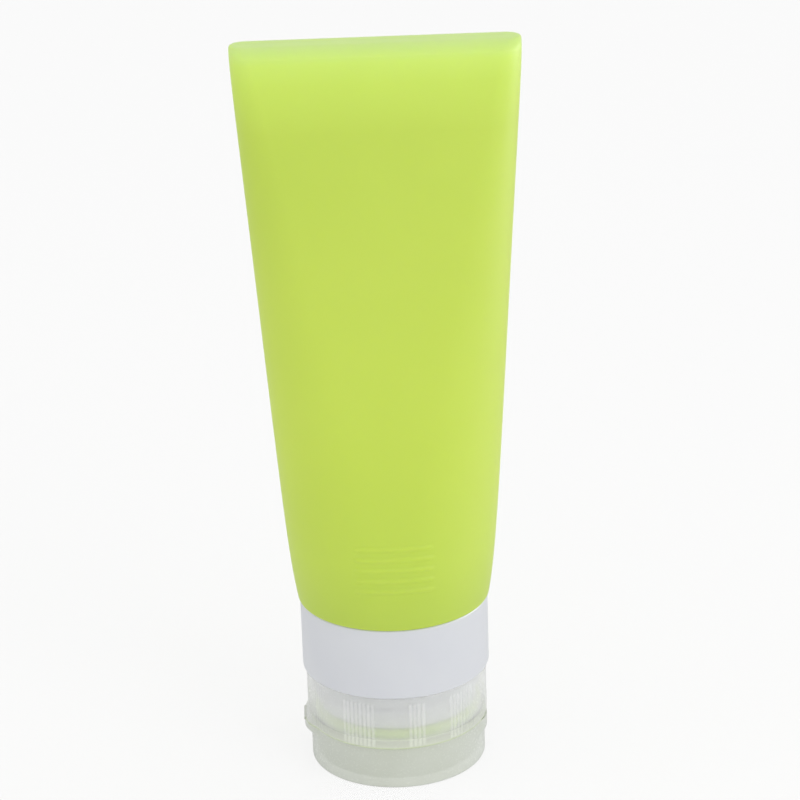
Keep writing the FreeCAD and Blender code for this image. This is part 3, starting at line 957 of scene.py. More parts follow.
@dataclass
class SqueezeTube:
    """Soft tube: round at the shoulder, flat at its closed end, lined into the collar.

    Attributes:
        shoulder: Height of the shoulder.
        end: Height of the closed end.
        mouth: Height of the neck's open end.
        gap: Room between the shoulder and the collar.
        belly: How far the side swells where it swells most.
        belly_share: Share of the height at which it does.
        belly_power: How fast the swelling fades above that.
        tuck: How far the side draws in at the shoulder.
        tuck_share: Share of the height over which the tuck fades.
        draw: How far the side draws in at the closed end.
        draw_share: Share of the height over which that fades.
        roundness: Share of an oval in the sections, fading to a rectangle with round corners at the end.
        round_power: How late it fades.
        end_flat: Half of the depth of the end's flat crest.
        lip: Height over which the end rolls over to the crest.
        lip_corner: Radius of the end's corners seen from the front.
        neck_cone: Height of the cone above the neck's bore, in walls.
        least: Least half depth of a section.
        line_front: Greatest y of the normals that count as the front.
        line_crest: Where a line starts to fall, in half widths.
        line_foot: Where it has fallen to the skin, in half widths.
    """

    shoulder: float
    end: float
    mouth: float
    gap: float = 0.02
    shoulder_radius: float = 19.40
    end_half_width: float = 27.34
    end_half_depth: float = 5.4
    end_corner: float = 3.9
    belly: float = 0.15
    belly_share: float = 0.25
    belly_power: int = 3
    tuck: float = 0.72
    tuck_share: float = 0.058
    draw: float = 0.35
    draw_share: float = 0.04
    roundness: float = 0.4
    round_power: int = 4
    end_flat: float = 1.6
    lip: float = 2.0
    lip_corner: float = 0.5
    shoulder_round: float = 0.45
    wall: float = 2.4
    end_wall: float = 3.0
    plug_radius: float = 16.95
    neck_radius: float = 14.05
    neck_bore: float = 12.4
    neck_cone: int = 3
    web_top: float = 21.85
    least: float = 0.04
    points: int = 288
    lip_rings: int = 22
    side_rings: int = 44
    line_rings: int = 96
    foot_rings: int = 10
    shoulder_rings: int = 9
    inner_rings: int = 30
    line_count: int = 5
    line_step: float = 2.1
    line_first: float = 42.6
    line_half_length: float = 7.0
    line_half_width: float = 0.34
    line_height: float = 0.22
    line_front: float = -0.4
    line_crest: float = 0.25
    line_foot: float = 1.9

    @classmethod
    def from_frame(cls) -> "SqueezeTube":
        """Take the levels from the frame's nodes.

        Returns:
            The tube.
        """
        mouth, end, _ = levels("squeeze_tube")
        _, collar_top, _ = levels("neck_collar")
        return cls(shoulder=collar_top + cls.gap, end=end, mouth=mouth)

    def section(self, height: float, inset: float = 0.0, side_inset: float | None = None) -> np.ndarray:
        """Draw the wall's outline at one height.

        Args:
            height: Height of the section.
            inset: Distance by which its front lies inside the tube's skin.
            side_inset: Distance by which its sides do, where it differs.

        Returns:
            Its points.
        """
        share = min(max((height - self.shoulder) / (self.end - self.shoulder), 0.0), 1.0)
        fall = ((1 - share) / (1 - self.belly_share)) ** self.belly_power
        belly = self.belly * share / self.belly_share * fall
        tuck = self.tuck * math.exp(-share / self.tuck_share)
        draw = self.draw * math.exp((share - 1) / self.draw_share)
        swell = belly - tuck - draw

        def across(end: float) -> float:
            """Give a size that changes evenly from the shoulder to the end, with the swelling."""
            return self.shoulder_radius + (end - self.shoulder_radius) * share + swell

        half_x = across(self.end_half_width) - (inset if side_inset is None else side_inset)
        half_y = max(across(self.end_half_depth) - inset, self.least)
        corner = min(across(self.end_corner), half_x, half_y)
        square = rounded_rectangle(half_x, half_y, corner, self.points)
        roundness = self.roundness * (1 - share ** self.round_power)
        flat = square + (oval(half_x, half_y, self.points) - square) * roundness
        return np.column_stack([flat, np.full(self.points, height)])

    def ring(self, radius: float, height: float) -> np.ndarray:
        """Draw a round outline at one height."""
        return np.column_stack([oval(radius, radius, self.points), np.full(self.points, height)])

    def closed_end(self) -> list[np.ndarray]:
        """Draw the end, well rolled in depth and tight at its corners.

        Returns:
            Sections from its flat crest down to the tube's side.
        """
        rings = []
        roll = self.end_half_depth - self.draw - self.end_flat
        for turn in np.linspace(0, QUARTER_TURN, self.lip_rings):
            drop = self.lip * (1 - math.cos(turn))
            corner_drop = min(drop / self.lip_corner, 1.0)
            inset = roll * (1 - math.sin(turn))
            side_inset = self.lip_corner * (1 - math.sqrt(1 - (1 - corner_drop) ** 2))
            rings.append(self.section(self.end - drop, inset, side_inset))
        return rings

    def outer_side(self) -> list[np.ndarray]:
        """Draw the tube's side, closely ruled where the raised lines are.

        Returns:
            Sections down to the shoulder.
        """
        top = self.end - self.lip
        lines_top = self.line_first + self.line_count * self.line_step
        lines_foot = self.line_first - self.line_step
        foot = self.shoulder + self.shoulder_round
        heights = np.concatenate([
            np.linspace(top, lines_top, self.side_rings)[1:],
            np.linspace(lines_top, lines_foot, self.line_rings)[1:],
            np.linspace(lines_foot, foot, self.foot_rings)[1:],
        ])
        rings = [self.section(height) for height in heights]
        for turn in np.linspace(0, QUARTER_TURN, self.shoulder_rings)[1:]:
            inset = self.shoulder_round * (1 - math.cos(turn))
            rings.append(self.section(foot - self.shoulder_round * math.sin(turn), inset))
        return rings

    def inside(self) -> list[np.ndarray]:
        """Draw the neck, its bore and the cavity.

        Returns:
            Sections up to the closed end.
        """
        chest = self.plug_radius - self.wall
        steps = (
            (self.plug_radius, self.shoulder),
            (self.plug_radius, self.web_top),
            (self.neck_radius, self.web_top),
            (self.neck_radius, self.mouth),
            (self.neck_bore, self.mouth),
            (self.neck_bore, self.web_top + self.wall),
            (chest, self.web_top + self.neck_cone * self.wall),
            (chest, self.shoulder - self.wall),
        )
        rings = [self.ring(radius, height) for radius, height in steps]
        heights = np.linspace(self.shoulder + self.wall, self.end - self.end_wall, self.inner_rings)
        rings.extend(self.section(height, self.wall) for height in heights)
        return rings

    def closures(self, count: int) -> list[Face]:
        """Close the first and the last section by joining opposite points across their middle lines.

        Args:
            count: Number of sections.

        Returns:
            The faces.
        """
        faces = []
        for first in (0, (count - 1) * self.points):
            for k in range(self.points // 2):
                a, b = first + k, first + k + 1
                c, d = first + (self.points - k - 1), first + (self.points - k) % self.points
                corners = tuple(dict.fromkeys((a, b, c, d)))
                if len(corners) > 2:
                    faces.append(corners)
        return faces

    def raise_lines(self, piece: Piece, finish: Material) -> None:
        """Raise the short lines low on the front.

        Args:
            piece: The tube.
            finish: Its material.
        """
        relief = ReliefTree("raised_lines", {
            "First Height": self.line_first * MM,
            "Line Step": self.line_step * MM,
            "Last Line": float(self.line_count - 1),
            "Half Length": self.line_half_length * MM,
            "Half Width": self.line_half_width * MM,
            "Line Height": self.line_height * MM,
        })
        step, width = relief.input("Line Step"), relief.input("Half Width")
        along = relief.z - relief.input("First Height")
        line = (along / step).nearest(0.0, relief.input("Last Line"))
        beside = (along - line * step).size()
        past = (relief.x.size() - relief.input("Half Length")).do("MAXIMUM", 0.0)
        away = (beside * beside + past * past).do("SQRT")
        _, facing, _ = split(relief.tree, relief.normal)
        front = facing.do("LESS_THAN", self.line_front)
        share = away.fade(width * self.line_crest, width * self.line_foot) * front
        relief.close(share * relief.input("Line Height"), relief.normal, finish)
        relief.apply(piece)

    def build(self, finish: Material) -> None:
        """Build the tube and dress it.

        Args:
            finish: Its material.
        """
        rings = [*self.closed_end(), *self.outer_side(), *self.inside()]
        count = len(rings)
        rows = [list(range(k * self.points, (k + 1) * self.points)) for k in range(count)]
        faces = [face for low, high in zip(rows, rows[1:]) for face in band(low, high, self.points)]
        piece = new_piece("soft_tube", np.concatenate(rings), faces + self.closures(count))
        self.raise_lines(piece, finish)
        dress(piece, finish, Slot.LIME, Body.BOTTLE, "squeeze_tube")


@dataclass
class ThreadForm:
    """A right-hand thread on a round wall.

    Attributes:
        wall: Radius of the wall.
        depth: How far the thread stands out from the axis, or in where negative.
        start: Height of its middle where it starts, at the +X side.
        turns: How many times it goes round.
        pitch: Rise in one turn.
        crest: Half of the crest's width.
        root: Half of the root's width.
        runout: Share of a turn over which its ends fade.
    """

    wall: float
    depth: float
    start: float
    turns: float
    pitch: float = 3.0
    crest: float = 0.45
    root: float = 0.85
    runout: float = 0.08

    def apply(self, piece: Piece, finish: Material) -> None:
        """Raise the thread on a piece's wall.

        Args:
            piece: The piece.
            finish: Its material.
        """
        relief = ReliefTree(piece.name + "_thread", {
            "Wall Radius": self.wall * MM,
            "Depth": self.depth * MM,
            "Start": self.start * MM,
            "Turns": self.turns,
            "Pitch": self.pitch * MM,
            "Half Crest": self.crest * MM,
            "Half Root": self.root * MM,
        })
        turns, pitch = relief.input("Turns"), relief.input("Pitch")
        turn = relief.angle.do("FLOORED_MODULO", FULL_TURN) / FULL_TURN
        climb = (relief.z - relief.input("Start")) / pitch
        wound = (climb - turn).nearest(0.0, (turns - turn).do("FLOOR")) + turn
        beside = (climb - wound).size() * pitch
        tooth = beside.fade(relief.input("Half Crest"), relief.input("Half Root"))
        begun = (wound * -1.0).fade(-self.runout, 0.0)
        ended = wound.fade(turns - self.runout, turns)
        share = tooth * begun * ended * relief.on_wall(relief.input("Wall Radius"))
        relief.close(share * relief.input("Depth"), relief.outwards(), finish)
        relief.apply(piece)


@dataclass
class NeckCollar:
    """Rigid white collar with the threaded neck under it.

    Attributes:
        rim: Height of the neck's open end.
        top: Height of the collar's top.
        radius: The collar's radius.
        foot: Height of the collar's lower face.
        lap: How far that face lies below the top of the cap's node.
        web: Thickness of the collar's floor.
        thread_rise: Height of the thread's start above the rim.
        step: Longest division of the section.
    """

    rim: float
    top: float
    radius: float
    foot: float
    lap: float = 0.15
    bore: float = 17.0
    neck_radius: float = 15.6
    neck_bore: float = 14.1
    web: float = 1.6
    edge: float = 0.45
    rim_edge: float = 0.3
    inner_edge: float = 0.2
    thread_depth: float = 0.85
    thread_rise: float = 1.45
    thread_turns: float = 1.5
    step: float = 0.22
    segments: int = 320

    @classmethod
    def from_frame(cls) -> "NeckCollar":
        """Take the levels and the radius from the frame's nodes."""
        _, cap_top, _ = levels("screw_cap")
        return cls(*levels("neck_collar"), foot=cap_top - cls.lap)

    def build(self, finish: Material) -> None:
        """Build the collar with its thread and dress it.

        Args:
            finish: Its material.
        """
        corners = (
            Corner(self.neck_bore, self.rim, self.inner_edge),
            Corner(self.neck_radius, self.rim, self.rim_edge),
            Corner(self.neck_radius, self.foot, self.inner_edge),
            Corner(self.radius, self.foot, self.edge),
            Corner(self.radius, self.top, self.edge),
            Corner(self.bore, self.top, self.inner_edge),
            Corner(self.bore, self.foot + self.web),
            Corner(self.neck_bore, self.foot + self.web),
        )
        piece = turned_mesh("collar", turned_outline(corners, self.step), self.segments)
        start = self.rim + self.thread_rise
        ThreadForm(self.neck_radius, self.thread_depth, start, self.thread_turns).apply(piece, finish)
        dress(piece, finish, Slot.WHITE, Body.BOTTLE, "neck_collar")


@dataclass
class SealRing:
    """Soft flat ring that shows through the cap."""

    foot: float
    top: float
    radius: float
    bore: float = 10.9
    edge: float = 0.4
    foot_edge: float = 0.12
    step: float = 1.0
    segments: int = 256

    @classmethod
    def from_frame(cls) -> "SealRing":
        """Take the ring's levels and radius from its frame node."""
        return cls(*levels("seal_ring"))

    def build(self, finish: Material) -> None:
        """Build the ring and dress it.

        Args:
            finish: Its material.
        """
        corners = (
            Corner(self.bore, self.foot, self.foot_edge),
            Corner(self.radius, self.foot, self.foot_edge),
            Corner(self.radius, self.top, self.edge),
            Corner(self.bore, self.top, self.edge),
        )
        piece = turned_mesh("seal", turned_outline(corners, self.step), self.segments)
        dress(piece, finish, Slot.LIME, Body.SEAL, "seal_ring")


@dataclass
class Lug:
    """A soft swelling of a round wall on one side of the bottle.

    Attributes:
        side: The side that it is on.
        reach: Distance of its flat face from the bottle's axis.
        root: Height where it is full.
        tip: Height where it has faded into the wall.
        wall: Least radius of the points that it moves.
        fold: Distance from the bottle's axis to which its face falls back at the hinge line, if it has one.
        fold_level: Height of the hinge line.
        fold_slope: How fast the face falls back towards it, so that the open lid clears the cap.
        flat: Half of the flat face's width.
        half_width: Half of the width over which it fades into the wall.
        crown: How full its fall from root to tip is.
    """

    side: Side
    reach: float
    root: float
    tip: float
    wall: float
    fold: float | None = None
    fold_level: float = 0.0
    fold_slope: float = math.tan(math.radians(15))
    flat: float = 2.4
    half_width: float = 9.0
    crown: float = 1.5

    def shape(self, points: np.ndarray) -> np.ndarray:
        """Swell the wall.

        Args:
            points: Points of the wall in millimetres.

        Returns:
            The moved points.
        """
        radius = np.maximum(np.hypot(points[:, 0], points[:, 1]), POLE_RADIUS)
        towards = self.side.value * points[:, 0] / radius
        fallen = np.clip((points[:, 2] - self.root) / (self.tip - self.root), 0, 1)
        level = (1 - fallen * fallen) ** self.crown
        reach = np.full_like(radius, self.reach)
        if self.fold is not None:
            fallen_back = self.fold + np.abs(points[:, 2] - self.fold_level) * self.fold_slope
            reach = np.minimum(reach, fallen_back)
        face = reach / np.maximum(towards, LUG_SIDE)
        aside = np.abs(points[:, 1]) / radius * face
        faded = np.clip((aside - self.flat) / (self.half_width - self.flat), 0, 1)
        across = 1 - faded * faded * (3 - 2 * faded)
        share = np.where((radius > self.wall) & (towards > LUG_SIDE), level * across, 0.0)
        factor = 1 + (np.maximum(face, radius) / radius - 1) * share
        return points * np.column_stack([factor, factor, np.ones_like(factor)])


@dataclass
class ScrewCap:
    """Clear cap: ribbed skirt with an inner thread, deck with the spout, and its half of the hinge.

    Attributes:
        tip: Height of the spout's tip.
        top: Height of the skirt's upper edge.
        fold: Distance of the hinge line from the bottle's axis.
        fold_level: Height of the hinge line.
        shy: How far the skirt ends below the top of its node.
        step: Longest division of the section, apart from the skirt and the bore.
        facet: Largest turn between two points of a round corner, in degrees.
        rib_foot: Height of the ribs' lower ends.
        rib_top: Height of their upper ends.
        rib_fade: Height over which their ends fade.
        rib_spread: Where a rib has fallen to the skirt, in half widths.
        rib_segments: Distance between ribs in segments of the mesh.
        sectors: How often the groups of ribs repeat round the cap.
        wide_first: Segment of the first rib in a wide group.
        wide_last: Number of its last rib, from nought.
        narrow_first: Segment of the first rib in a narrow group.
        narrow_last: Number of its last rib, from nought.
    """

    tip: float
    top: float
    fold: float
    fold_level: float
    shy: float = 0.25
    parting: float = 8.66
    radius: float = 17.66
    bore: float = 16.8
    deck: float = 9.95
    boss_radius: float = 15.9
    boss_face: float = 8.1
    spout_radius: float = 6.2
    spout_tip: float = 5.6
    spout_bore: float = 4.7
    orifice: float = 3.0
    lip: float = 6.0
    valve_nest: float = 7.6
    valve_seat: float = 9.05
    ring_nest: float = 9.3
    ring_wall: float = 10.4
    ring_top: float = 11.45
    edge: float = 0.2
    orifice_edge: float = 0.25
    outer_edge: float = 0.35
    inner_edge: float = 0.3
    parting_edge: float = 0.15
    hinge_rise: float = 1.3
    thread_depth: float = -0.85
    thread_start: float = 15.0
    thread_turns: float = 1.15
    step: float = 4.0
    skirt_step: float = 0.5
    bore_step: float = 0.55
    facet: float = 30.0
    segments: int = 765
    rib_foot: float = 8.95
    rib_top: float = 18.5
    rib_fade: float = 0.5
    rib_depth: float = 0.11
    rib_half_width: float = 0.18
    rib_spread: float = 2.2
    rib_segments: int = 6
    sectors: int = 5
    wide_first: int = -269
    wide_last: int = 7
    narrow_first: int = -176
    narrow_last: int = 3

    @classmethod
    def from_frame(cls) -> "ScrewCap":
        """Take the cap's levels from its frame node and the hinge line from the film's.

        Returns:
            The cap.
        """
        tip, top, _ = levels("screw_cap")
        film = HingeFilm.from_frame()
        return cls(tip=tip, top=top - cls.shy, fold=-film.face, fold_level=film.level)

    def outline(self) -> np.ndarray:
        """Draw the cap's section.

        Returns:
            Pairs of radius and height.
        """
        corners = (
            Corner(self.orifice, self.tip, self.orifice_edge),
            Corner(self.spout_tip, self.tip, self.outer_edge),
            Corner(self.spout_radius, self.boss_face, self.inner_edge),
            Corner(self.boss_radius, self.boss_face, self.edge),
            Corner(self.boss_radius, self.parting, self.parting_edge),
            Corner(self.radius, self.parting, self.parting_edge, self.skirt_step),
            Corner(self.radius, self.top, self.outer_edge),
            Corner(self.bore, self.top, self.inner_edge, self.bore_step),
            Corner(self.bore, self.deck, self.inner_edge),
            Corner(self.ring_wall, self.deck, self.edge),
            Corner(self.ring_wall, self.ring_top, self.edge),
            Corner(self.ring_nest, self.ring_top, self.edge),
            Corner(self.ring_nest, self.deck),
            Corner(self.valve_nest, self.deck),
            Corner(self.valve_nest, self.valve_seat),
            Corner(self.spout_bore, self.valve_seat),
            Corner(self.spout_bore, self.lip),
            Corner(self.orifice, self.lip, self.edge),
        )
        return turned_outline(corners, self.step, facet=self.facet)

    def raise_ribs(self, piece: Piece, finish: Material) -> None:
        """Raise the grip ribs: wide and narrow groups, again in every sector.

        Args:
            piece: The cap.
            finish: Its material.
        """
        segment = FULL_TURN / self.segments
        relief = ReliefTree("grip_ribs", {
            "Skirt Radius": self.radius * MM,
            "Rib Depth": self.rib_depth * MM,
            "Half Width": self.rib_half_width * MM,
            "Rib Step": self.rib_segments * segment,
            "Sector": FULL_TURN / self.sectors,
            "Wide First": self.wide_first * segment,
            "Wide Last": float(self.wide_last),
            "Narrow First": self.narrow_first * segment,
            "Narrow Last": float(self.narrow_last),
            "Foot": self.rib_foot * MM,
            "Top": self.rib_top * MM,
            "End Fade": self.rib_fade * MM,
        })
        step, wall, width = (relief.input(label) for label in ("Rib Step", "Skirt Radius", "Half Width"))
        foot, top, fade = (relief.input(label) for label in ("Foot", "Top", "End Fade"))

        def group(first: Number, last: Number) -> Number:
            """Give the share of rib height in one kind of group.

            Args:
                first: Angle of its first rib.
                last: Number of its last rib.

            Returns:
                The share.
            """
            half = step * 0.5
            along = (relief.angle - first + half).do("FLOORED_MODULO", relief.input("Sector")) - half
            rib = (along / step).nearest(0.0, last)
            return ((along - rib * step).size() * wall).fade(width, width * self.rib_spread)

        below_top = relief.z.fade(top - fade, top)
        above_foot = (relief.z * -1.0).fade((foot + fade) * -1.0, foot * -1.0)
        wide = group(relief.input("Wide First"), relief.input("Wide Last"))
        narrow = group(relief.input("Narrow First"), relief.input("Narrow Last"))
        share = wide.do("MAXIMUM", narrow) * below_top * above_foot * relief.on_wall(wall)
        relief.close(share * relief.input("Rib Depth"), relief.outwards(), finish, share)
        relief.apply(piece)

    def build(self, finish: Material) -> None:
        """Build the cap with its ribs and thread and dress it.

        Args:
            finish: Its material.
        """
        lug = Lug(
            Side.HINGE, HINGE_REACH, root=self.parting, tip=self.parting + self.hinge_rise,
            wall=self.radius - LUG_DEPTH, fold=self.fold, fold_level=self.fold_level,
        )
        piece = turned_mesh("ribbed_cap", self.outline(), self.segments, shaper=lug.shape)
        self.raise_ribs(piece, finish)
        ThreadForm(self.bore, self.thread_depth, self.thread_start, self.thread_turns).apply(piece, finish)
        dress(piece, finish, Slot.CLEAR, Body.CAP, "screw_cap")


@dataclass
class FlipLid:
    """Clear lid: a flat-faced cup with the spout's plug, a thumb tab and its half of the hinge.

    Attributes:
        top: Height of the lid's rim.
        tab_reach: Distance of the tab's face from the bottle's axis.
        fold: Distance of the hinge line from it.
        fold_level: Height of the hinge line.
        shy: How far the tab ends short of its node.
        hinge_full: Depth below the rim to which the hinge's half is full.
        hinge_fall: Depth at which it has faded into the wall.
        tab_full: Depth below the rim to which the tab is full.
        tab_fall: Depth at which it has faded into the wall.
        step: Longest division of the section.
    """

    top: float
    tab_reach: float
    fold: float
    fold_level: float
    shy: float = 0.45
    radius: float = 17.22
    bore: float = 16.2
    floor: float = 1.4
    plug_radius: float = 2.7
    plug_top: float = 5.7
    foot_edge: float = 0.45
    rim_edge: float = 0.12
    bore_edge: float = 0.25
    floor_edge: float = 0.8
    plug_root: float = 0.4
    plug_edge: float = 0.5
    hinge_full: float = 0.8
    hinge_fall: float = 2.65
    tab_full: float = 2.05
    tab_fall: float = 3.45
    step: float = 0.4
    segments: int = 400

    @classmethod
    def from_frame(cls) -> "FlipLid":
        """Take the lid's height and reach from its frame node and the hinge line from the film's.

        Returns:
            The lid.
        """
        _, top, reach = levels("flip_lid")
        film = HingeFilm.from_frame()
        return cls(top=top, tab_reach=reach - cls.shy, fold=-film.face, fold_level=film.level)

    def shape(self, points: np.ndarray) -> np.ndarray:
        """Swell the wall to the hinge's half and the thumb tab.

        Args:
            points: Points of the lid in millimetres.

        Returns:
            The moved points.
        """
        wall = self.radius - LUG_DEPTH
        hinge = Lug(
            Side.HINGE, HINGE_REACH, root=self.top - self.hinge_full, tip=self.top - self.hinge_fall,
            wall=wall, fold=self.fold, fold_level=self.fold_level,
        )
        tab = Lug(
            Side.TAB, self.tab_reach, root=self.top - self.tab_full, tip=self.top - self.tab_fall,
            wall=wall,
        )
        return tab.shape(hinge.shape(points))

    def build(self, finish: Material) -> None:
        """Build the lid and dress it.

        Args:
            finish: Its material.
        """
        corners = (
            Corner(0.0, 0.0),
            Corner(self.radius, 0.0, self.foot_edge),
            Corner(self.radius, self.top, self.rim_edge),
            Corner(self.bore, self.top, self.bore_edge),
            Corner(self.bore, self.floor, self.floor_edge),
            Corner(self.plug_radius, self.floor, self.plug_root),
            Corner(self.plug_radius, self.plug_top, self.plug_edge),
            Corner(0.0, self.plug_top),
        )
        outline = turned_outline(corners, self.step, closed=False)
        piece = turned_mesh("lid_cup", outline, self.segments, closed=False, shaper=self.shape)
        dress(piece, finish, Slot.CLEAR, Body.LID, "flip_lid")


@dataclass
class HingeFilm:
    """Thin bowed film that joins the two halves of the hinge.

    Attributes:
        face: Place of the hinge line on the X axis.
        level: Height of the hinge line.
        bow: Half of the film's height.
        rise: How far its outer side bows out.
        hollow: Share of that bow on its inner side.
        thinning: Share of its height that the inner side lacks.
        steps: Divisions of its height.
        slices: Divisions of its width.
    """

    face: float
    level: float
    bow: float
    half_width: float = 2.6
    rise: float = 0.42
    hollow: float = 0.1
    thinning: float = 0.05
    steps: int = 24
    slices: int = 12

    @classmethod
    def from_frame(cls) -> "HingeFilm":
        """Take the film's axis and height from its frame node."""
        low, high, face = levels("hinge_film")
        return cls(face=face, level=(low + high) / 2, bow=(high - low) / 2)

    def build(self, finish: Material) -> None:
        """Build the film as a bowed strip between the cap and the lid.

        Args:
            finish: Its material.
        """
        points, faces = [], []
        turns = np.linspace(QUARTER_TURN, 3 * QUARTER_TURN, self.steps + 1)
        rows = [(1.0, turn) for turn in turns] + [(self.hollow, turn) for turn in turns[::-1]]
        count = len(rows)
        for y in np.linspace(-self.half_width, self.half_width, self.slices + 1):
            for share, turn in rows:
                out, up = self.rise * share * math.cos(turn), self.bow * math.sin(turn)
                points.append((self.face + out, y, self.level + up * (1 - self.thinning * (1 - share))))
        rings = [list(range(s * count, (s + 1) * count)) for s in range(self.slices + 1)]
        for low, high in zip(rings, rings[1:]):
            faces.extend(band(low, high, count))
        for first in (0, self.slices * count):
            for k in range(self.steps):
                faces.append((first + k, first + k + 1, first + count - 2 - k, first + count - 1 - k))
        piece = new_piece("film", np.array(points), faces)
        coat(piece, finish)
        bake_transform(piece)
        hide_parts("hinge_film")
        LOG.info("%s bends between cap and lid: %d faces", piece.name, len(faces))


@dataclass
class DripValve:
    """Soft cup with a crossed slit in its floor, and the rings that hold the soft pieces.

    Attributes:
        floor: Height of the cup's lower face.
        top: Height of its flange's upper face.
        flange_radius: Radius of the flange.
        flange: Thickness of the flange.
        membrane: Thickness of the slit floor.
        slit_below: How far a cutter reaches below the floor.
        slit_above: How far it reaches above, in membranes.
        step: Longest division of the section.
    """

    floor: float
    top: float
    flange_radius: float
    radius: float = 4.5
    bore: float = 3.6
    flange: float = 0.8
    membrane: float = 0.6
    edge: float = 0.2
    floor_edge: float = 0.5
    flange_root: float = 0.15
    bore_edge: float = 0.3
    slit_half_length: float = 2.3
    slit_half_width: float = 0.1
    slit_below: float = 1.0
    slit_above: int = 2
    step: float = 0.5
    segments: int = 96

    @classmethod
    def from_frame(cls) -> "DripValve":
        """Take the valve's levels and radius from its frame node."""
        return cls(*levels("drip_valve"))

    def cutter(self, half_x: float, half_y: float) -> Piece:
        """Make the block that cuts one slit.

        Args:
            half_x: Half of its size along X.
            half_y: Half of its size along Y.

        Returns:
            The block.
        """
        low, high = self.floor - self.slit_below, self.floor + self.slit_above * self.membrane
        around = ((-half_x, -half_y), (half_x, -half_y), (half_x, half_y), (-half_x, half_y))
        points = [(x, y, z) for z in (low, high) for x, y in around]
        sides = band([0, 1, 2, 3], [4, 5, 6, 7], len(around))
        return new_piece("slit", np.array(points), [(0, 1, 2, 3), (4, 5, 6, 7), *sides])

    def build(self, soft: Material, rigid: Material, nodes: dict[str, Piece]) -> None:
        """Build the valve, dress it, and dress the rigid rings.

        Args:
            soft: Finish of the valve.
            rigid: Finish of the rings.
            nodes: The frame's own nodes.
        """
        flange_foot = self.top - self.flange
        corners = (
            Corner(0.0, self.floor),
            Corner(self.radius, self.floor, self.floor_edge),
            Corner(self.radius, flange_foot, self.flange_root),
            Corner(self.flange_radius, flange_foot, self.edge),
            Corner(self.flange_radius, self.top, self.edge),
            Corner(self.bore, self.top, self.edge),
            Corner(self.bore, self.floor + self.membrane, self.bore_edge),
            Corner(0.0, self.floor + self.membrane),
        )
        outline = turned_outline(corners, self.step, closed=False)
        piece = turned_mesh("valve_cup", outline, self.segments, closed=False)
        cutters = (
            self.cutter(self.slit_half_length, self.slit_half_width),
            self.cutter(self.slit_half_width, self.slit_half_length),
        )
        for cutter in cutters:
            cut = piece.modifiers.new(cutter.name, "BOOLEAN")
            cut.object = cutter
            cut.operation = "DIFFERENCE"
            cut.solver = "EXACT"
        settle(piece)
        for cutter in cutters:
            bpy.data.objects.remove(cutter)
        dress(piece, soft, Slot.PALE, Body.CAP, "drip_valve")
        for name in ("neck_sleeve", "valve_retainer"):
            coat(nodes[name], rigid)
            LOG.info("%s keeps its frame mesh", name)


@dataclass(frozen=True)
class SoftLamp:
    """A square soft lamp.

    Attributes:
        name: Name of the lamp.
        place: Where it hangs, in metres.
        width: Its width in metres.
        power: Its power in watts.
        gloss_only: Whether it adds to gloss alone.
        aim: What it points at, in metres.
    """

    name: str
    place: Point
    width: float
    power: float
    gloss_only: bool = False
    aim: Point = (0.0, 0.0, 0.07)

    def build(self) -> None:
        """Hang the lamp."""
        light = bpy.data.lights.new(self.name, "AREA")
        light.shape = "SQUARE"
        light.size = self.width
        light.energy = self.power
        lamp = bpy.data.objects.new(self.name, light)
        bpy.context.scene.collection.objects.link(lamp)
        place = Vector(self.place)
        aim = (Vector(self.aim) - place).to_track_quat("-Z", "Y")
        lamp.matrix_world = Matrix.Translation(place) @ aim.to_matrix().to_4x4()
        lamp.visible_camera = False
        lamp.visible_diffuse = not self.gloss_only


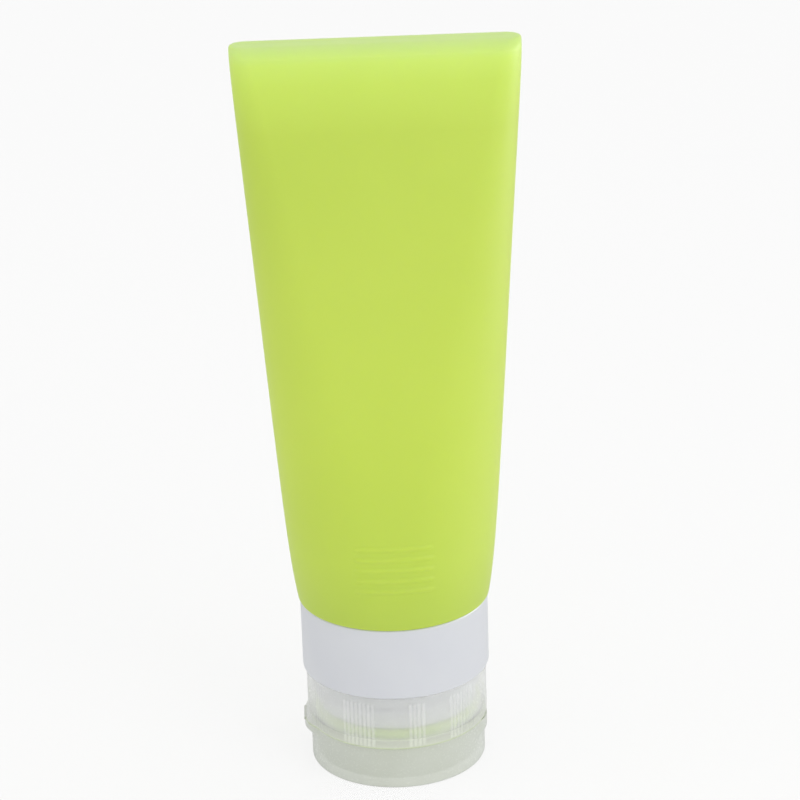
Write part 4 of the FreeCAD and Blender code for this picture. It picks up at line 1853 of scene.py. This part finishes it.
@dataclass
class Studio:
    """Pale floor, soft light and the camera.

    Attributes:
        eye: Place of the camera.
        pitch: How far it looks down, in degrees.
        yaw: How far it looks to the right, in degrees.
        roll: How far it leans, in degrees.
        lens: Its focal length.
        clip: Nearest and farthest distance that it sees, in metres.
        sky: Strength of the even light.
        sky_front: How much stronger it is from the viewer's side.
        sky_up: How much stronger it is from above.
        floor_width: Width of the floor in metres.
        floor_rough: Roughness of the floor.
        floor_clear: Share of the floor that the camera sees through.
        lamps: The lamps.
    """

    eye: Point = (-6.18, -580.97, 302.96)
    pitch: float = 21.450
    yaw: float = 0.853
    roll: float = 1.880
    lens: float = 146.32
    clip: tuple[float, float] = (0.01, 50.0)
    sky: float = 0.75
    sky_front: float = 0.07
    sky_up: float = 0.08
    floor_width: float = 6.0
    floor_rough: float = 0.9
    floor_clear: float = 0.75
    lamps: tuple[SoftLamp, ...] = (
        SoftLamp("key_lamp", (0.55, -0.58, 0.45), width=0.5, power=1.2),
        SoftLamp("fill_lamp", (-0.70, -0.15, 0.35), width=0.5, power=0.1),
        SoftLamp("side_lamp", (0.50, 0.05, 0.165), width=0.3, power=2.0, gloss_only=True),
    )

    def build(self) -> None:
        """Build the floor, the lights and the camera."""
        self.build_floor()
        self.build_sky()
        for lamp in self.lamps:
            lamp.build()
        self.build_camera()

    def build_floor(self) -> None:
        """Lay a pale floor that keeps a light shadow and shows what a pose lowers through it."""
        half = self.floor_width / 2 / MM
        corners = np.array([(-half, -half, 0.0), (half, -half, 0.0), (half, half, 0.0), (-half, half, 0.0)])
        floor = new_piece("floor", corners, [(0, 1, 2, 3)])
        finish = bpy.data.materials.new("pale_floor")
        finish.use_nodes = True
        tree = finish.node_tree
        shader = tree.nodes["Principled BSDF"]
        shader.inputs["Base Color"].default_value = PLAIN_WHITE
        shader.inputs["Roughness"].default_value = self.floor_rough
        seen = Number(tree, add_node(tree, "ShaderNodeLightPath").outputs["Is Camera Ray"])
        through = add_node(tree, "ShaderNodeBsdfTransparent")
        show_mix(tree, seen * self.floor_clear, shader.outputs[0], through.outputs[0])
        coat(floor, finish)

    def build_sky(self) -> None:
        """Surround the studio with an even light that is white where it is seen or mirrored."""
        world = bpy.data.worlds.new("studio")
        bpy.context.scene.world = world
        world.use_nodes = True
        tree = world.node_tree
        background = tree.nodes["Background"]
        _, away, up = split(tree, add_node(tree, "ShaderNodeTexCoord").outputs["Generated"])
        light = up * self.sky_up - away * self.sky_front + self.sky
        path = add_node(tree, "ShaderNodeLightPath")
        kinds = ("Camera", "Glossy", "Transmission")
        rays = [Number(tree, path.outputs[f"Is {kind} Ray"]) for kind in kinds]
        seen = rays[0].do("MAXIMUM", rays[1]).do("MAXIMUM", rays[2])
        background.inputs["Color"].default_value = PLAIN_WHITE
        feed(tree, background.inputs["Strength"], light + (light * -1.0 + 1.0) * seen)

    def build_camera(self) -> None:
        """Set the camera at the photograph's viewpoint."""
        camera = bpy.data.objects.new("camera", bpy.data.cameras.new("camera"))
        bpy.context.scene.collection.objects.link(camera)
        camera.data.lens = self.lens
        camera.data.clip_start, camera.data.clip_end = self.clip
        turn = (
            Matrix.Rotation(-math.radians(self.yaw), 4, "Z")
            @ Matrix.Rotation(QUARTER_TURN - math.radians(self.pitch), 4, "X")
            @ Matrix.Rotation(-math.radians(self.roll), 4, "Z")
        )
        camera.matrix_world = Matrix.Translation(Vector(self.eye) * MM) @ turn
        bpy.context.scene.camera = camera


def main() -> None:
    """Build every piece around the frame."""
    logging.basicConfig(level=logging.INFO, format="%(name)s: %(message)s")
    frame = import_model()
    bpy.context.scene.view_settings.view_transform = "Standard"
    finishes = (finish.make() for finish in (LIME, BRIGHTENED_RING, PALE, WHITE, CLEAR, LID_CLEAR))
    lime, ring, pale, white, clear, lid_clear = finishes
    SqueezeTube.from_frame().build(lime)
    NeckCollar.from_frame().build(white)
    # The seal ring wears the brightened copy of the lime silicone: painted light against the shade inside
    # the cap.
    SealRing.from_frame().build(ring)
    ScrewCap.from_frame().build(clear)
    FlipLid.from_frame().build(lid_clear)
    HingeFilm.from_frame().build(lid_clear)
    DripValve.from_frame().build(pale, white, frame["nodes"])
    Studio().build()


if __name__ == "__main__":
    main()
